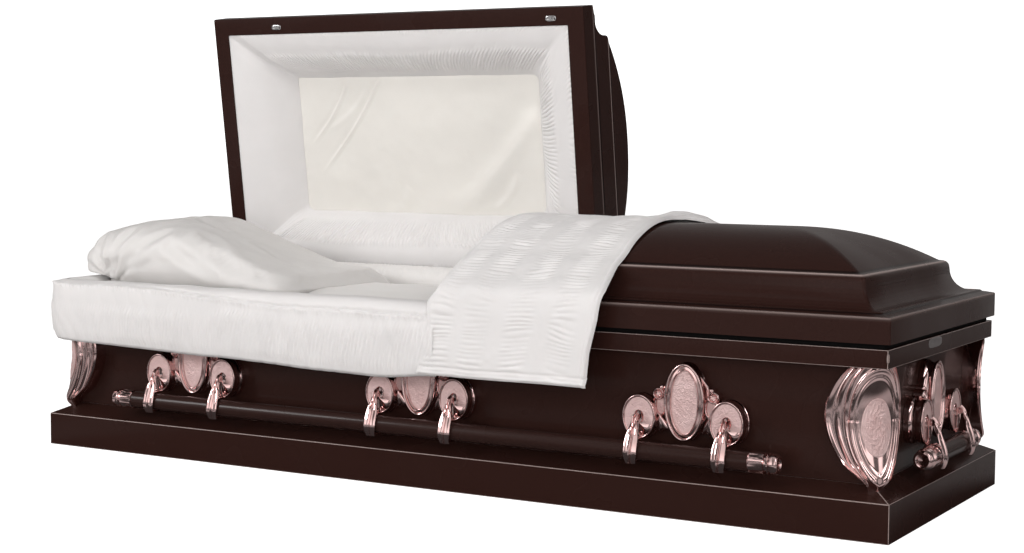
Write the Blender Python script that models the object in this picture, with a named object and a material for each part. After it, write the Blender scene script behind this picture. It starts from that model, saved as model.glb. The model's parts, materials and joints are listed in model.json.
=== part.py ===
"""Steel funeral casket with a two-piece lid, swing-bar handles and a lined interior.

Frame: metres, +Z up, +X along the length towards the foot end, the viewer's side at -Y.
The origin is the centre of the underside. The head cap stands open, the foot cap is shut.
"""
from math import cos, pi, radians, sin, sqrt

import bmesh
import bpy
from mathutils import Vector
from mathutils.geometry import tessellate_polygon

# Overall size of the base's footprint
LENGTH = 2.108
WIDTH = 0.711

# Sheet steel and the clearance between pieces that touch
SHEET = 0.0012
GAP = 0.0003

# Base moulding and walls: insets are measured inwards from the base's footprint
BASE_BAND = 0.075
LEDGE_RISE = 0.025
WALL_INSET = 0.052

# Rim moulding round the top of the walls
RIM_INSET = 0.0125
RIM_LOW = 0.324
RIM_TOP = 0.360
RIM_SHELF = 0.012

# Gasket between the rim and the lid
GASKET_HEIGHT = 0.010
GASKET_WIDTH = 0.012
GASKET_INSET = 0.022

# Lid: the rim band, the moulded cove, the upper bead and the crown
LID_INSET = 0.0076
LID_BAND = 0.050
LID_FLANGE = 0.042
SPLIT_X = 0.074
SPLIT_GAP = 0.003
LEDGE_WIDTH = 0.034
LEDGE_LIFT = 0.0055
COVE_WIDTH = 0.043
COVE_RISE = 0.048
BEAD_WIDTH = 0.018
BEAD_RISE = 0.0185
CROWN_RISE = 0.075
CROWN_POWER = 2.15
CROWN_STEPS = 5
COVE_STEPS = 4

# Hinge along the back and how far the caps open
HINGE_IN = 0.0035
HINGE_UP = 0.005
HINGE_RADIUS = 0.0044
HINGE_LEAF = 0.028
HINGE_LENGTH = 2.0
KNUCKLE_FROM_DEG = 205
KNUCKLE_TO_DEG = 505
KNUCKLE_STEPS = 9
HEAD_OPEN_DEG = 82.1

# Lining in the head cap
SURROUND_WIDTH = 0.130
SURROUND_DEPTH = 0.100
SURROUND_THICK = 0.012
SURROUND_FACE_SAG = 0.3
SURROUND_BACK_SAG = 0.55
PANEL_THICK = 0.010

# Corner ornaments
POST_INSET = 0.018
CORNER_RADIUS = 0.073
CORNER_RADIUS_LOW = 0.004
CORNER_WAIST_Z = 0.240
CORNER_FOOT_Z = 0.100
CORNER_REACH_UP = 0.1016
CORNER_SWELL = 0.75
CORNER_ROWS_BELOW = 3
CORNER_ROWS_ABOVE = 3
FLANGE_WIDTH = 0.025
FLANGE_RIDGE = 0.003
FLANGE_LAP = 0.008
FLANGE_SHAPE = ((0.0, 0.0), (0.15, 1.0), (0.4, 0.0), (0.85, 1.0), (1.0, 0.0))
FRAME_WIDTH = 0.082
FRAME_HEIGHT = 0.180
FRAME_RIDGE = 0.004
FRAME_Z = 0.228
MEDALLION_WIDTH = 0.064
MEDALLION_HEIGHT = 0.1055
MEDALLION_RISE = 0.002
MEDALLION_EDGE = 0.001

# Handle plates: a tall oval between two drums that carry the arms
PLATE_Z = 0.229
PLATE_FROM_END = 0.429
OVAL_WIDTH = 0.087
OVAL_HEIGHT = 0.155
OVAL_DEPTH = 0.0325
DRUM_WIDTH = 0.073
DRUM_HEIGHT = 0.089
DRUM_DEPTH = 0.040
DRUM_SPACING = 0.189
DRUM_DROP = 0.034
BACKING_DEPTH = 0.012
PLATE_MARGIN = 0.003
PLATE_RIM = 0.004
PLATE_RECESS = 0.003
PLATE_SLOPE = 0.002
SCROLL_RADIUS = 0.011
SCROLL_OUT = 0.007
SCROLL_UP = 0.0075
PETAL_RADIUS = 0.020
OVAL_STEPS = 18
DRUM_STEPS = 12

# Swing arms and bars
EYE_RADIUS = 0.008
BAR_RADIUS = 0.019
BAR_DROP = 0.065
BAR_OUT = 0.0052
BAR_SIDES = 16
CLASP_WALL = 0.0045
CLASP_SIDES = 10
LEAF_REACH = 0.0305
LEAF_WIDTH = 0.025
LEAF_HALF_HEIGHT = 0.015
LEAF_BULGE = 0.003
LEAF_TOE = 0.0065
NECK_WIDTH = 0.009
NECK_DROP = 0.012
NECK_TO_BAR = 0.005
SHOULDER = (0.0125, 0.016)
BEND = (0.019, 0.034)
STRUT_OUT = 0.0075
STRUT_TOP = 0.014
WINDOW_BACK = 0.0032
WINDOW_NECK = 0.0055
WINDOW_FRONT = 0.0125
WINDOW_SHOULDER = 0.030
WINDOW_LOW = 0.0375
BAR_OVERHANG = 0.1185
END_BAR_OVERHANG = 0.0755
TIP_LENGTH = 0.060
TIP_RADIUS = 0.0215
TIP_SIDES = 8
TIP_SLEEVE = 0.032
TIP_GROOVE_DEPTH = 0.004
TIP_GROOVE_WIDTH = 0.009
TIP_TAPER = 0.0005
TIP_CHAMFER = 0.005
TIP_DISH_DEPTH = 0.004
TIP_DISH_RADIUS = 0.010

# Bedding
BED_FRAME_TOP = 0.240
BED_FRAME_SHEET = 0.003
MATTRESS_TOP = 0.366
MATTRESS_MARGIN = 0.028
MATTRESS_ROUND = 0.022
PILLOW_LENGTH = 0.585
PILLOW_WIDTH = 0.520
PILLOW_HEIGHT = 0.172
PILLOW_FROM_END = 0.004
PILLOW_SHIFT = -0.014
PILLOW_TURNS = 14
PILLOW_LEVELS = 7
PILLOW_SQUARE = 0.6
PILLOW_EDGE = 0.55
PILLOW_FALL = 0.6
PILLOW_FALL_FROM = 0.42
BACK_ROLL_TOP = 0.425
BACK_ROLL_WIDTH = 0.052

# Extendover: the shirred fabric rolled over the rim at the front and at the head end
ROLL_OUT = 0.0305
ROLL_OUT_HEAD = 0.0105
ROLL_THICK = 0.0165
ROLL_TOP = 0.405
ROLL_HEM_FRONT = 0.232
ROLL_HEM_HEAD = 0.260
ROLL_CORNER = 0.090
ROLL_CORNER_INNER = 0.045
ROLL_CORNER_MOUTH = 0.015
ROLL_TO_SPLIT = 0.014
ROLL_FROM_BACK = 0.030
ROLL_PAST_MATTRESS = 0.006
ROLL_SHOULDER = 0.010
ROLL_SHOULDER_DROP = 0.004
ROLL_SIDE_TOP = 0.020
ROLL_SIDE_LOW = 0.050
ROLL_LIP = 0.006
ROLL_LIP_HEIGHT = 0.008
ROLL_LIP_BACK = 0.008
ROLL_HEM_TAPER = 0.003
ROLL_CORNER_STEPS = 4

# Throw laid over the end of the foot cap
THROW_THICK = 0.008
THROW_CLEAR = 0.002
THROW_OUT = 0.0325
THROW_HEM_Z = 0.250
THROW_LEAN = 0.039
THROW_WIDTH_LOW = 0.370
THROW_WIDTH_HIGH = 0.426
THROW_WIDTH_BACK = 0.506
THROW_BACK_INSET = 0.080
THROW_SHOULDER_IN = 0.020
THROW_SHOULDER_RISE = 0.026
THROW_BEND_IN = 0.004
THROW_FALL_POINTS = 3

HALF_LENGTH = LENGTH / 2
HALF_WIDTH = WIDTH / 2
HINGE_Y = HALF_WIDTH - HINGE_IN
HINGE_Z = RIM_TOP + HINGE_UP
GASKET_TOP = RIM_TOP + GASKET_HEIGHT
LID_LOW = GASKET_TOP
LID_RIM_TOP = LID_LOW + LID_BAND
DRUM_Z = PLATE_Z - DRUM_DROP
WALL_TOP = RIM_TOP - SHEET - GAP
BASE_BOX = (-HALF_LENGTH, HALF_LENGTH, -HALF_WIDTH, HALF_WIDTH)


def clear_scene():
    for item in list(bpy.data.objects):
        bpy.data.objects.remove(item, do_unlink=True)


def material(name, colour, roughness, metallic):
    made = bpy.data.materials.new(name)
    made.use_nodes = True
    shader = made.node_tree.nodes["Principled BSDF"]
    shader.inputs["Base Color"].default_value = (*colour, 1.0)
    shader.inputs["Roughness"].default_value = roughness
    shader.inputs["Metallic"].default_value = metallic
    return made


def empty(name, place, turn_x=0.0):
    axis = bpy.data.objects.new(name, None)
    axis.location = place
    axis.rotation_euler = (turn_x, 0.0, 0.0)
    bpy.context.scene.collection.objects.link(axis)
    return axis


def mesh_from(name, points, faces, smooth_deg=30.0):
    """A closed mesh with its faces turned outwards, smooth apart from its sharp edges."""
    mesh = bpy.data.meshes.new(name)
    mesh.from_pydata([tuple(point) for point in points], [], faces)
    work = bmesh.new()
    work.from_mesh(mesh)
    bmesh.ops.recalc_face_normals(work, faces=work.faces)
    work.to_mesh(mesh)
    work.free()
    mesh.shade_smooth()
    mesh.set_sharp_from_angle(angle=radians(smooth_deg))
    return mesh


def place(name, mesh, finish, parent=None, location=(0.0, 0.0, 0.0), turn_z=0.0):
    piece = bpy.data.objects.new(name, mesh)
    bpy.context.scene.collection.objects.link(piece)
    if not mesh.materials:
        mesh.materials.append(finish)
    piece.parent = parent
    piece.location = location
    piece.rotation_euler = (0.0, 0.0, turn_z)
    return piece


def box_mesh(name, low, high):
    corners = [(x, y, z) for x in (low[0], high[0]) for y in (low[1], high[1]) for z in (low[2], high[2])]
    sides = [(0, 1, 3, 2), (4, 6, 7, 5), (0, 4, 5, 1), (2, 3, 7, 6), (0, 2, 6, 4), (1, 5, 7, 3)]
    return mesh_from(name, corners, sides)


def inset_corners(box, inset, z):
    x_low, x_high, y_low, y_high = box
    return [(x_low + inset, y_low + inset, z), (x_high - inset, y_low + inset, z),
            (x_high - inset, y_high - inset, z), (x_low + inset, y_high - inset, z)]


def mitred_ring(name, section, box):
    """A closed section of (inset, z) points carried round a rectangle with mitred corners."""
    points = []
    for inset, z in section:
        points += inset_corners(box, inset, z)
    count = len(section)
    faces = []
    for i in range(count):
        j = (i + 1) % count
        for k in range(4):
            m = (k + 1) % 4
            faces.append((4 * i + k, 4 * i + m, 4 * j + m, 4 * j + k))
    return mesh_from(name, points, faces)


def plate_with_holes(name, loops, low, high, to_point):
    """A flat outline with holes, given two faces by low(point) and high(point)."""
    flat = [point for loop in loops for point in loop]
    total = len(flat)
    triangles = tessellate_polygon([[Vector((u, v, 0.0)) for u, v in loop] for loop in loops])
    points = [to_point(u, v, low(u, v)) for u, v in flat] + [to_point(u, v, high(u, v)) for u, v in flat]
    faces = [tuple(t) for t in triangles] + [tuple(i + total for i in t) for t in triangles]
    start = 0
    for loop in loops:
        count = len(loop)
        for i in range(count):
            j = (i + 1) % count
            faces.append((start + i, start + j, start + j + total, start + i + total))
        start += count
    return mesh_from(name, points, faces)


def arc(centre, radius, first_deg, last_deg, steps):
    """Points on an ellipse arc; radius is one number or a pair."""
    wide, high = radius if isinstance(radius, tuple) else (radius, radius)
    found = []
    for i in range(steps + 1):
        angle = radians(first_deg + (last_deg - first_deg) * i / steps)
        found.append((centre[0] + wide * cos(angle), centre[1] + high * sin(angle)))
    return found


def ledge_height(inset):
    """Height of the base moulding's sloped ledge at a distance in from its footprint."""
    return BASE_BAND + LEDGE_RISE * min(inset, WALL_INSET) / WALL_INSET


def base_moulding():
    back = WALL_INSET - GAP
    section = [(0.0, 0.0), (0.0, BASE_BAND), (back, ledge_height(back)),
               (back, ledge_height(back) - SHEET), (SHEET, BASE_BAND - SHEET), (SHEET, 0.0)]
    place("base_moulding", mitred_ring("base_moulding", section, BASE_BOX), PAINT)


def body_walls():
    low = SHEET + GAP
    edge = SHEET + GAP
    pan_x = HALF_LENGTH - edge
    pan_y = HALF_WIDTH - edge
    pan = box_mesh("bottom_pan", (-pan_x, -pan_y, 0.0), (pan_x, pan_y, SHEET))
    place("bottom_pan", pan, PAINT)
    out_x = HALF_LENGTH - WALL_INSET
    out_y = HALF_WIDTH - WALL_INSET
    for name, side in (("side_panel_front", -1), ("side_panel_back", 1)):
        faces = sorted((side * out_y, side * (out_y - SHEET)))
        panel = box_mesh(name, (-out_x, faces[0], low), (out_x, faces[1], WALL_TOP))
        place(name, panel, PAINT)
    between = out_y - SHEET - GAP
    for name, side in (("end_panel_head", -1), ("end_panel_foot", 1)):
        faces = sorted((side * out_x, side * (out_x - SHEET)))
        panel = box_mesh(name, (faces[0], -between, low), (faces[1], between, WALL_TOP))
        place(name, panel, PAINT)


def rim_moulding():
    shelf = WALL_INSET + RIM_SHELF
    lip = WALL_INSET - GAP
    section = [(RIM_INSET, RIM_LOW), (RIM_INSET, RIM_TOP), (shelf, RIM_TOP), (shelf, RIM_TOP - SHEET),
               (RIM_INSET + SHEET, RIM_TOP - SHEET), (RIM_INSET + SHEET, RIM_LOW + SHEET),
               (lip, RIM_LOW + SHEET), (lip, RIM_LOW)]
    place("rim_moulding", mitred_ring("rim_moulding", section, BASE_BOX), PAINT)
    outer = GASKET_INSET
    inner = GASKET_INSET + GASKET_WIDTH
    section = [(outer, RIM_TOP + GAP), (outer, GASKET_TOP - GAP),
               (inner, GASKET_TOP - GAP), (inner, RIM_TOP + GAP)]
    place("gasket", mitred_ring("gasket", section, BASE_BOX), RUBBER)


def hinge():
    """A long hinge: a leaf on the back of the rim moulding with the knuckle above it."""
    leaf_in = HALF_WIDTH - RIM_INSET + GAP
    leaf_out = leaf_in + SHEET
    knuckle = arc((HINGE_Y, HINGE_Z), HINGE_RADIUS, KNUCKLE_FROM_DEG, KNUCKLE_TO_DEG, KNUCKLE_STEPS)
    outline = [(leaf_in, RIM_TOP - HINGE_LEAF), (leaf_out, RIM_TOP - HINGE_LEAF)] + knuckle
    outline.append((leaf_in, HINGE_Z + HINGE_RADIUS / 2))
    half = HINGE_LENGTH / 2
    mesh = plate_with_holes("hinge", [outline], lambda u, v: -half, lambda u, v: half,
                            lambda u, v, w: (w, u, v))
    place("hinge", mesh, STEEL)


def lid_profile():
    """Points (inset from the lid's rim, z) from the rim's outer foot to the ridge."""
    points = [(0.0, LID_LOW), (0.0, LID_RIM_TOP), (LEDGE_WIDTH, LID_RIM_TOP + LEDGE_LIFT)]
    z = LID_RIM_TOP + LEDGE_LIFT
    for i in range(1, COVE_STEPS + 1):
        angle = i / COVE_STEPS * pi / 2
        points.append((LEDGE_WIDTH + COVE_WIDTH * sin(angle), z + COVE_RISE * (1 - cos(angle))))
    inset = LEDGE_WIDTH + COVE_WIDTH
    z += COVE_RISE
    points.append((inset + BEAD_WIDTH / 2, z + BEAD_RISE))
    inset += BEAD_WIDTH
    z += BEAD_RISE
    ridge = HALF_WIDTH - LID_INSET
    for i in range(CROWN_STEPS + 1):
        share = i / CROWN_STEPS
        rise = CROWN_RISE * (1 - (1 - share) ** CROWN_POWER)
        points.append((inset + (ridge - inset) * share, z + rise))
    return points


def offset_profile(points, depth):
    """The same profile moved inwards by a wall's thickness, without its foot and ridge."""
    moved = []
    for i in range(1, len(points) - 1):
        before = Vector(points[i]) - Vector(points[i - 1])
        after = Vector(points[i + 1]) - Vector(points[i])
        one = Vector((before.y, -before.x)).normalized()
        two = Vector((after.y, -after.x)).normalized()
        both = (one + two).normalized()
        step = both * (depth / max(both.dot(one), 0.5))
        moved.append((points[i][0] + step.x, points[i][1] + step.y))
    return moved


def cap_mesh(name, split, end):
    """One cap as a pressed shell, in closed position; end is the sign of its outer end."""
    toward = 1 if end > split else -1
    outer = lid_profile()
    inner = offset_profile(outer, SHEET)
    half = HALF_WIDTH - LID_INSET
    points = []

    def row(inset, z, from_split):
        start = split + toward * from_split
        stop = end - toward * inset
        first = len(points)
        points.extend([(start, -half + inset, z), (stop, -half + inset, z),
                       (stop, half - inset, z), (start, half - inset, z)])
        return [first, first + 1, first + 2, first + 3]

    def ridge(z, inset, from_split):
        first = len(points)
        points.extend([(split + toward * from_split, 0.0, z), (end - toward * inset, 0.0, z)])
        return [first, first + 1, first + 1, first]

    outer_rows = [row(inset, z, 0.0) for inset, z in outer[:-1]]
    outer_rows.append(ridge(outer[-1][1], outer[-1][0], 0.0))
    inner_rows = [row(SHEET, LID_LOW + SHEET, SHEET)]
    inner_rows += [row(inset, z, SHEET) for inset, z in inner]
    inner_rows.append(ridge(outer[-1][1] - SHEET, outer[-1][0], SHEET))
    faces = []
    for rows in (outer_rows, inner_rows):
        for low, high in zip(rows, rows[1:]):
            for k in range(3):
                quad = [low[k], low[k + 1], high[k + 1], high[k]]
                faces.append(tuple(dict.fromkeys(quad)))
        front = [r[0] for r in rows]
        back = [r[3] for r in rows[:-1]]
        faces.append(tuple(front + back[::-1]))
    mouth_low = [len(points) + k for k in range(4)]
    near = split + toward * LID_FLANGE
    far = end - toward * LID_FLANGE
    side = half - LID_FLANGE
    mouth = [(near, -side), (far, -side), (far, side), (near, side)]
    points.extend([(x, y, LID_LOW) for x, y in mouth])
    mouth_high = [len(points) + k for k in range(4)]
    points.extend([(x, y, LID_LOW + SHEET) for x, y in mouth])
    for around, opening in ((outer_rows[0], mouth_low), (inner_rows[0], mouth_high)):
        for k in range(4):
            m = (k + 1) % 4
            faces.append((around[k], around[m], opening[m], opening[k]))
    for k in range(4):
        m = (k + 1) % 4
        faces.append((mouth_low[k], mouth_low[m], mouth_high[m], mouth_high[k]))
    return mesh_from(name, hinged(points), faces)


def hinged(points):
    """Points in closed position, measured from the hinge's axis."""
    return [(x, y - HINGE_Y, z - HINGE_Z) for x, y, z in points]


def unhinge(mesh):
    for vertex in mesh.vertices:
        vertex.co.y -= HINGE_Y
        vertex.co.z -= HINGE_Z
    return mesh


def caps():
    head_hinge = empty("head_cap_hinge", (0.0, HINGE_Y, HINGE_Z), -radians(HEAD_OPEN_DEG))
    foot_hinge = empty("foot_cap_hinge", (0.0, HINGE_Y, HINGE_Z))
    end = HALF_LENGTH - LID_INSET
    place("head_cap_shell", cap_mesh("head_cap_shell", SPLIT_X - SPLIT_GAP / 2, -end), PAINT, head_hinge)
    place("foot_cap_shell", cap_mesh("foot_cap_shell", SPLIT_X + SPLIT_GAP / 2, end), PAINT, foot_hinge)
    lining(head_hinge)
    throw(foot_hinge)


def lining(head_hinge):
    """The head cap's puffed surround and the satin panel that it frames."""
    side = HALF_WIDTH - LID_INSET
    box = (-HALF_LENGTH + LID_INSET, SPLIT_X - SPLIT_GAP / 2, -side, side)
    outer = LID_FLANGE + GAP
    inner = LID_FLANGE + SURROUND_WIDTH
    low = LID_LOW
    deep = low + SURROUND_DEPTH
    middle = (outer + inner) / 2
    section = [(outer, low + GAP), (middle, low + SURROUND_DEPTH * SURROUND_FACE_SAG),
               (inner, deep - SURROUND_THICK), (inner, deep),
               (middle, low + SURROUND_DEPTH * SURROUND_BACK_SAG), (outer, low + SURROUND_THICK)]
    surround = unhinge(mitred_ring("head_cap_surround", section, box))
    place("head_cap_surround", surround, SHIRRED, head_hinge)
    panel_box = (box[0] + inner, box[1] - inner, -side + inner, side - inner)
    panel = box_mesh("head_cap_panel", (panel_box[0] + GAP, panel_box[2] + GAP, deep - PANEL_THICK),
                     (panel_box[1] - GAP, panel_box[3] - GAP, deep))
    place("head_cap_panel", unhinge(panel), SATIN, head_hinge)


def throw_path():
    """The throw's middle line in (y, z), from its front hem over the crown to the back."""
    profile = lid_profile()
    half = HALF_WIDTH - LID_INSET
    lift = THROW_CLEAR + THROW_THICK / 2
    front = -HALF_WIDTH - THROW_OUT - THROW_THICK / 2
    bead = next(point for point in profile if point[0] > LEDGE_WIDTH + COVE_WIDTH)
    crown = [point for point in profile if point[0] >= bead[0]]
    path = [(front, THROW_HEM_Z), (front, LID_LOW), (front + THROW_BEND_IN, LID_RIM_TOP + lift),
            (front + THROW_SHOULDER_IN, LID_RIM_TOP + THROW_SHOULDER_RISE)]
    path += [(-half + inset, z + lift) for inset, z in crown]
    path += [(half - inset, z + lift) for inset, z in crown[-2::-1]]
    path.append((half - THROW_BACK_INSET, bead[1] + lift - THROW_BEND_IN))
    return path


def throw(foot_hinge):
    """The throw as a folded sheet; its left edge leans only below the cap's rim."""
    path = throw_path()
    count = len(path)
    peak = count // 2
    left = SPLIT_X + SPLIT_GAP / 2 + GAP
    points = []
    faces = []
    for i, (y, z) in enumerate(path):
        before = Vector(path[max(i - 1, 0)])
        after = Vector(path[min(i + 1, count - 1)])
        along = (after - before).normalized()
        out = Vector((-along.y, along.x)) * (THROW_THICK / 2)
        hanging = max(0.0, 1 - i / (THROW_FALL_POINTS - 1))
        raised = min(1.0, i / THROW_FALL_POINTS)
        over = min(1.0, max(0.0, i - THROW_FALL_POINTS) / (peak - THROW_FALL_POINTS))
        low_x = left - (THROW_LEAN + left - SPLIT_X) * hanging
        high_x = SPLIT_X + THROW_WIDTH_LOW + (THROW_WIDTH_HIGH - THROW_WIDTH_LOW) * raised
        high_x += (THROW_WIDTH_BACK - THROW_WIDTH_HIGH) * over
        for x in (low_x, high_x):
            points.append((x, y + out.x, z + out.y))
            points.append((x, y - out.x, z - out.y))
    for i in range(count - 1):
        a = 4 * i
        b = a + 4
        faces += [(a, a + 2, b + 2, b), (a + 1, b + 1, b + 3, a + 3), (a, b, b + 1, a + 1),
                  (a + 2, a + 3, b + 3, b + 2)]
    last = 4 * (count - 1)
    faces += [(0, 1, 3, 2), (last, last + 2, last + 3, last + 1)]
    place("throw", mesh_from("throw", hinged(points), faces), SHIRRED, foot_hinge)


def corner_radius(z):
    """Radius of the ornament's rounded corner in plan, which swells towards its waist."""
    if z < CORNER_WAIST_Z:
        share = min(1.0, (CORNER_WAIST_Z - z) / (CORNER_WAIST_Z - CORNER_FOOT_Z))
        return max(CORNER_RADIUS_LOW, CORNER_RADIUS * (1 - share * share) ** CORNER_SWELL)
    share = (z - CORNER_WAIST_Z) / CORNER_REACH_UP
    return CORNER_RADIUS * sqrt(1 - share * share)


def corner_surface(across, z, lift):
    """A point at a distance across from the corner's diagonal, as insets from the two sides."""
    radius = corner_radius(z)
    half_arc = radius * pi / 4
    if across < -half_arc:
        return (POST_INSET + radius - across - half_arc, POST_INSET - lift)
    if across > half_arc:
        return (POST_INSET - lift, POST_INSET + radius + across - half_arc)
    angle = pi / 4 + across / radius
    reach = radius + lift
    return (POST_INSET + radius - reach * sin(angle), POST_INSET + radius - reach * cos(angle))


def corner_mesh(name, side_x, side_y):
    """A cast corner: a flanged, waisted face with a raised oval frame and a medallion."""
    back = WALL_INSET - GAP
    top = RIM_LOW - GAP
    low = ledge_height(POST_INSET) + GAP
    rows = [low + (FRAME_Z - low) * k / CORNER_ROWS_BELOW for k in range(CORNER_ROWS_BELOW)]
    rows += [FRAME_Z + (top - FRAME_Z) * k / CORNER_ROWS_ABOVE for k in range(CORNER_ROWS_ABOVE + 1)]
    points = []

    def add(inset_x, inset_y, z):
        above_ledge = max(z, ledge_height(min(inset_x, inset_y)) + GAP)
        points.append((side_x * (HALF_LENGTH - inset_x), side_y * (HALF_WIDTH - inset_y), above_ledge))
        return len(points) - 1

    def on_face(across, z, lift=0.0):
        inset_x, inset_y = corner_surface(across, z, lift)
        return add(inset_x, inset_y, z)

    sides = {}
    for side in (-1, 1):
        lines = []
        for z in rows:
            joint = corner_radius(z) * pi / 4
            flange = max(FLANGE_WIDTH, back + FLANGE_LAP - POST_INSET - corner_radius(z))
            line = []
            for share, ridge in FLANGE_SHAPE:
                line.append(on_face(side * (joint + flange * share), z, FLANGE_RIDGE * ridge))
            edge = POST_INSET + corner_radius(z) + flange
            line.append(add(edge, back, z) if side < 0 else add(back, edge, z))
            lines.append(line)
        sides[side] = lines
    faces = []
    for side in (-1, 1):
        for one, two in zip(sides[side], sides[side][1:]):
            for k in range(len(FLANGE_SHAPE)):
                faces.append((one[k], one[k + 1], two[k + 1], two[k]))
    foot_mid = on_face(0.0, rows[0])
    top_mid = on_face(0.0, rows[-1])
    around = [foot_mid] + [line[0] for line in sides[1]] + [top_mid]
    around += [line[0] for line in reversed(sides[-1])]
    steps = len(around)
    ovals = ((FRAME_WIDTH / 2, FRAME_HEIGHT / 2, 0.0),
             (FRAME_WIDTH / 2 - FRAME_RIDGE / 2, FRAME_HEIGHT / 2 - FRAME_RIDGE / 2, FRAME_RIDGE),
             (FRAME_WIDTH / 2 - FRAME_RIDGE, FRAME_HEIGHT / 2 - FRAME_RIDGE, 0.0),
             (MEDALLION_WIDTH / 2, MEDALLION_HEIGHT / 2, 0.0),
             (MEDALLION_WIDTH / 2 - MEDALLION_EDGE, MEDALLION_HEIGHT / 2 - MEDALLION_EDGE,
              MEDALLION_RISE))
    for wide, high, lift in ovals:
        loop = []
        for i in range(steps):
            angle = -pi / 2 + 2 * pi * i / steps
            loop.append(on_face(wide * cos(angle), FRAME_Z + high * sin(angle), lift))
        for i in range(steps):
            j = (i + 1) % steps
            faces.append((around[i], around[j], loop[j], loop[i]))
        around = loop
    middle = on_face(0.0, FRAME_Z, MEDALLION_RISE)
    faces += [(around[i], around[(i + 1) % steps], middle) for i in range(steps)]
    back_low = add(back, back, low)
    back_top = add(back, back, top)
    for side, lines in sides.items():
        faces.append(tuple([back_low] + [line[-1] for line in lines] + [back_top]))
        faces.append(tuple([foot_mid] + lines[0] + [back_low]))
        faces.append(tuple([top_mid] + lines[-1] + [back_top]))
    return mesh_from(name, points, faces)


def corners():
    for side_y, near in ((-1, "front"), (1, "back")):
        for side_x, end in ((-1, "head"), (1, "foot")):
            name = "corner_ornament_" + near + "_" + end
            place(name, corner_mesh(name, side_x, side_y), ROSE)


def plate_outline():
    """Outline of the plate's backing about the oval's centre: ovals, scrolls and petals."""
    oval = (OVAL_WIDTH / 2 + PLATE_MARGIN, OVAL_HEIGHT / 2 + PLATE_MARGIN)
    drum = (DRUM_WIDTH / 2 + PLATE_MARGIN, DRUM_HEIGHT / 2 + PLATE_MARGIN)
    drum_at = (DRUM_SPACING / 2, -DRUM_DROP)
    between = (OVAL_WIDTH / 2 + DRUM_SPACING / 2 - DRUM_WIDTH / 2) / 2
    scroll = (between + SCROLL_OUT, DRUM_HEIGHT / 2 - DRUM_DROP + SCROLL_UP)
    petal = (between, -DRUM_DROP - SCROLL_RADIUS)
    right = arc((0.0, 0.0), oval, 90, 22, 3)
    right += arc(scroll, SCROLL_RADIUS, 115, 10, 2)
    right += arc(drum_at, drum, 112, -138, 8)
    right += arc(petal, PETAL_RADIUS, -75, -125, 1)
    right += arc((0.0, 0.0), oval, -56, -90, 2)
    left = [(-u, v) for u, v in reversed(right[1:-1])]
    return right + left


def handle_plate_mesh():
    """One plate in its own frame: u along the wall, v up, w out from the wall."""
    outline = plate_outline()
    bosses = [((0.0, 0.0), OVAL_WIDTH / 2, OVAL_HEIGHT / 2, OVAL_DEPTH, OVAL_STEPS)]
    for side in (-1, 1):
        centre = (side * DRUM_SPACING / 2, -DRUM_DROP)
        bosses.append((centre, DRUM_WIDTH / 2, DRUM_HEIGHT / 2, DRUM_DEPTH, DRUM_STEPS))
    loops = [outline]
    for centre, wide, high, depth, steps in bosses:
        loops.append(arc(centre, (wide, high), 0, 360 - 360 / steps, steps - 1))
    flat = [point for loop in loops for point in loop]
    triangles = tessellate_polygon([[Vector((u, v, 0.0)) for u, v in loop] for loop in loops])
    points = [(u, -BACKING_DEPTH, v) for u, v in flat]
    faces = [tuple(t) for t in triangles]
    edge = len(outline)
    first_back = len(points)
    points += [(u, -GAP, v) for u, v in outline]
    faces.append(tuple(range(first_back, first_back + edge)))
    for i in range(edge):
        j = (i + 1) % edge
        faces.append((i, j, first_back + j, first_back + i))
    start = edge
    for centre, wide, high, depth, steps in bosses:
        around = list(range(start, start + steps))
        start += steps
        levels = ((0.0, depth), (PLATE_RIM, depth), (PLATE_RIM + PLATE_SLOPE, depth - PLATE_RECESS))
        for shrink, out in levels:
            loop_2d = arc(centre, (wide - shrink, high - shrink), 0, 360 - 360 / steps, steps - 1)
            first = len(points)
            points += [(u, -out, v) for u, v in loop_2d]
            loop = list(range(first, first + steps))
            for i in range(steps):
                j = (i + 1) % steps
                faces.append((around[i], around[j], loop[j], loop[i]))
            around = loop
        faces.append(tuple(around))
    return mesh_from("handle_plate", points, faces)


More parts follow.
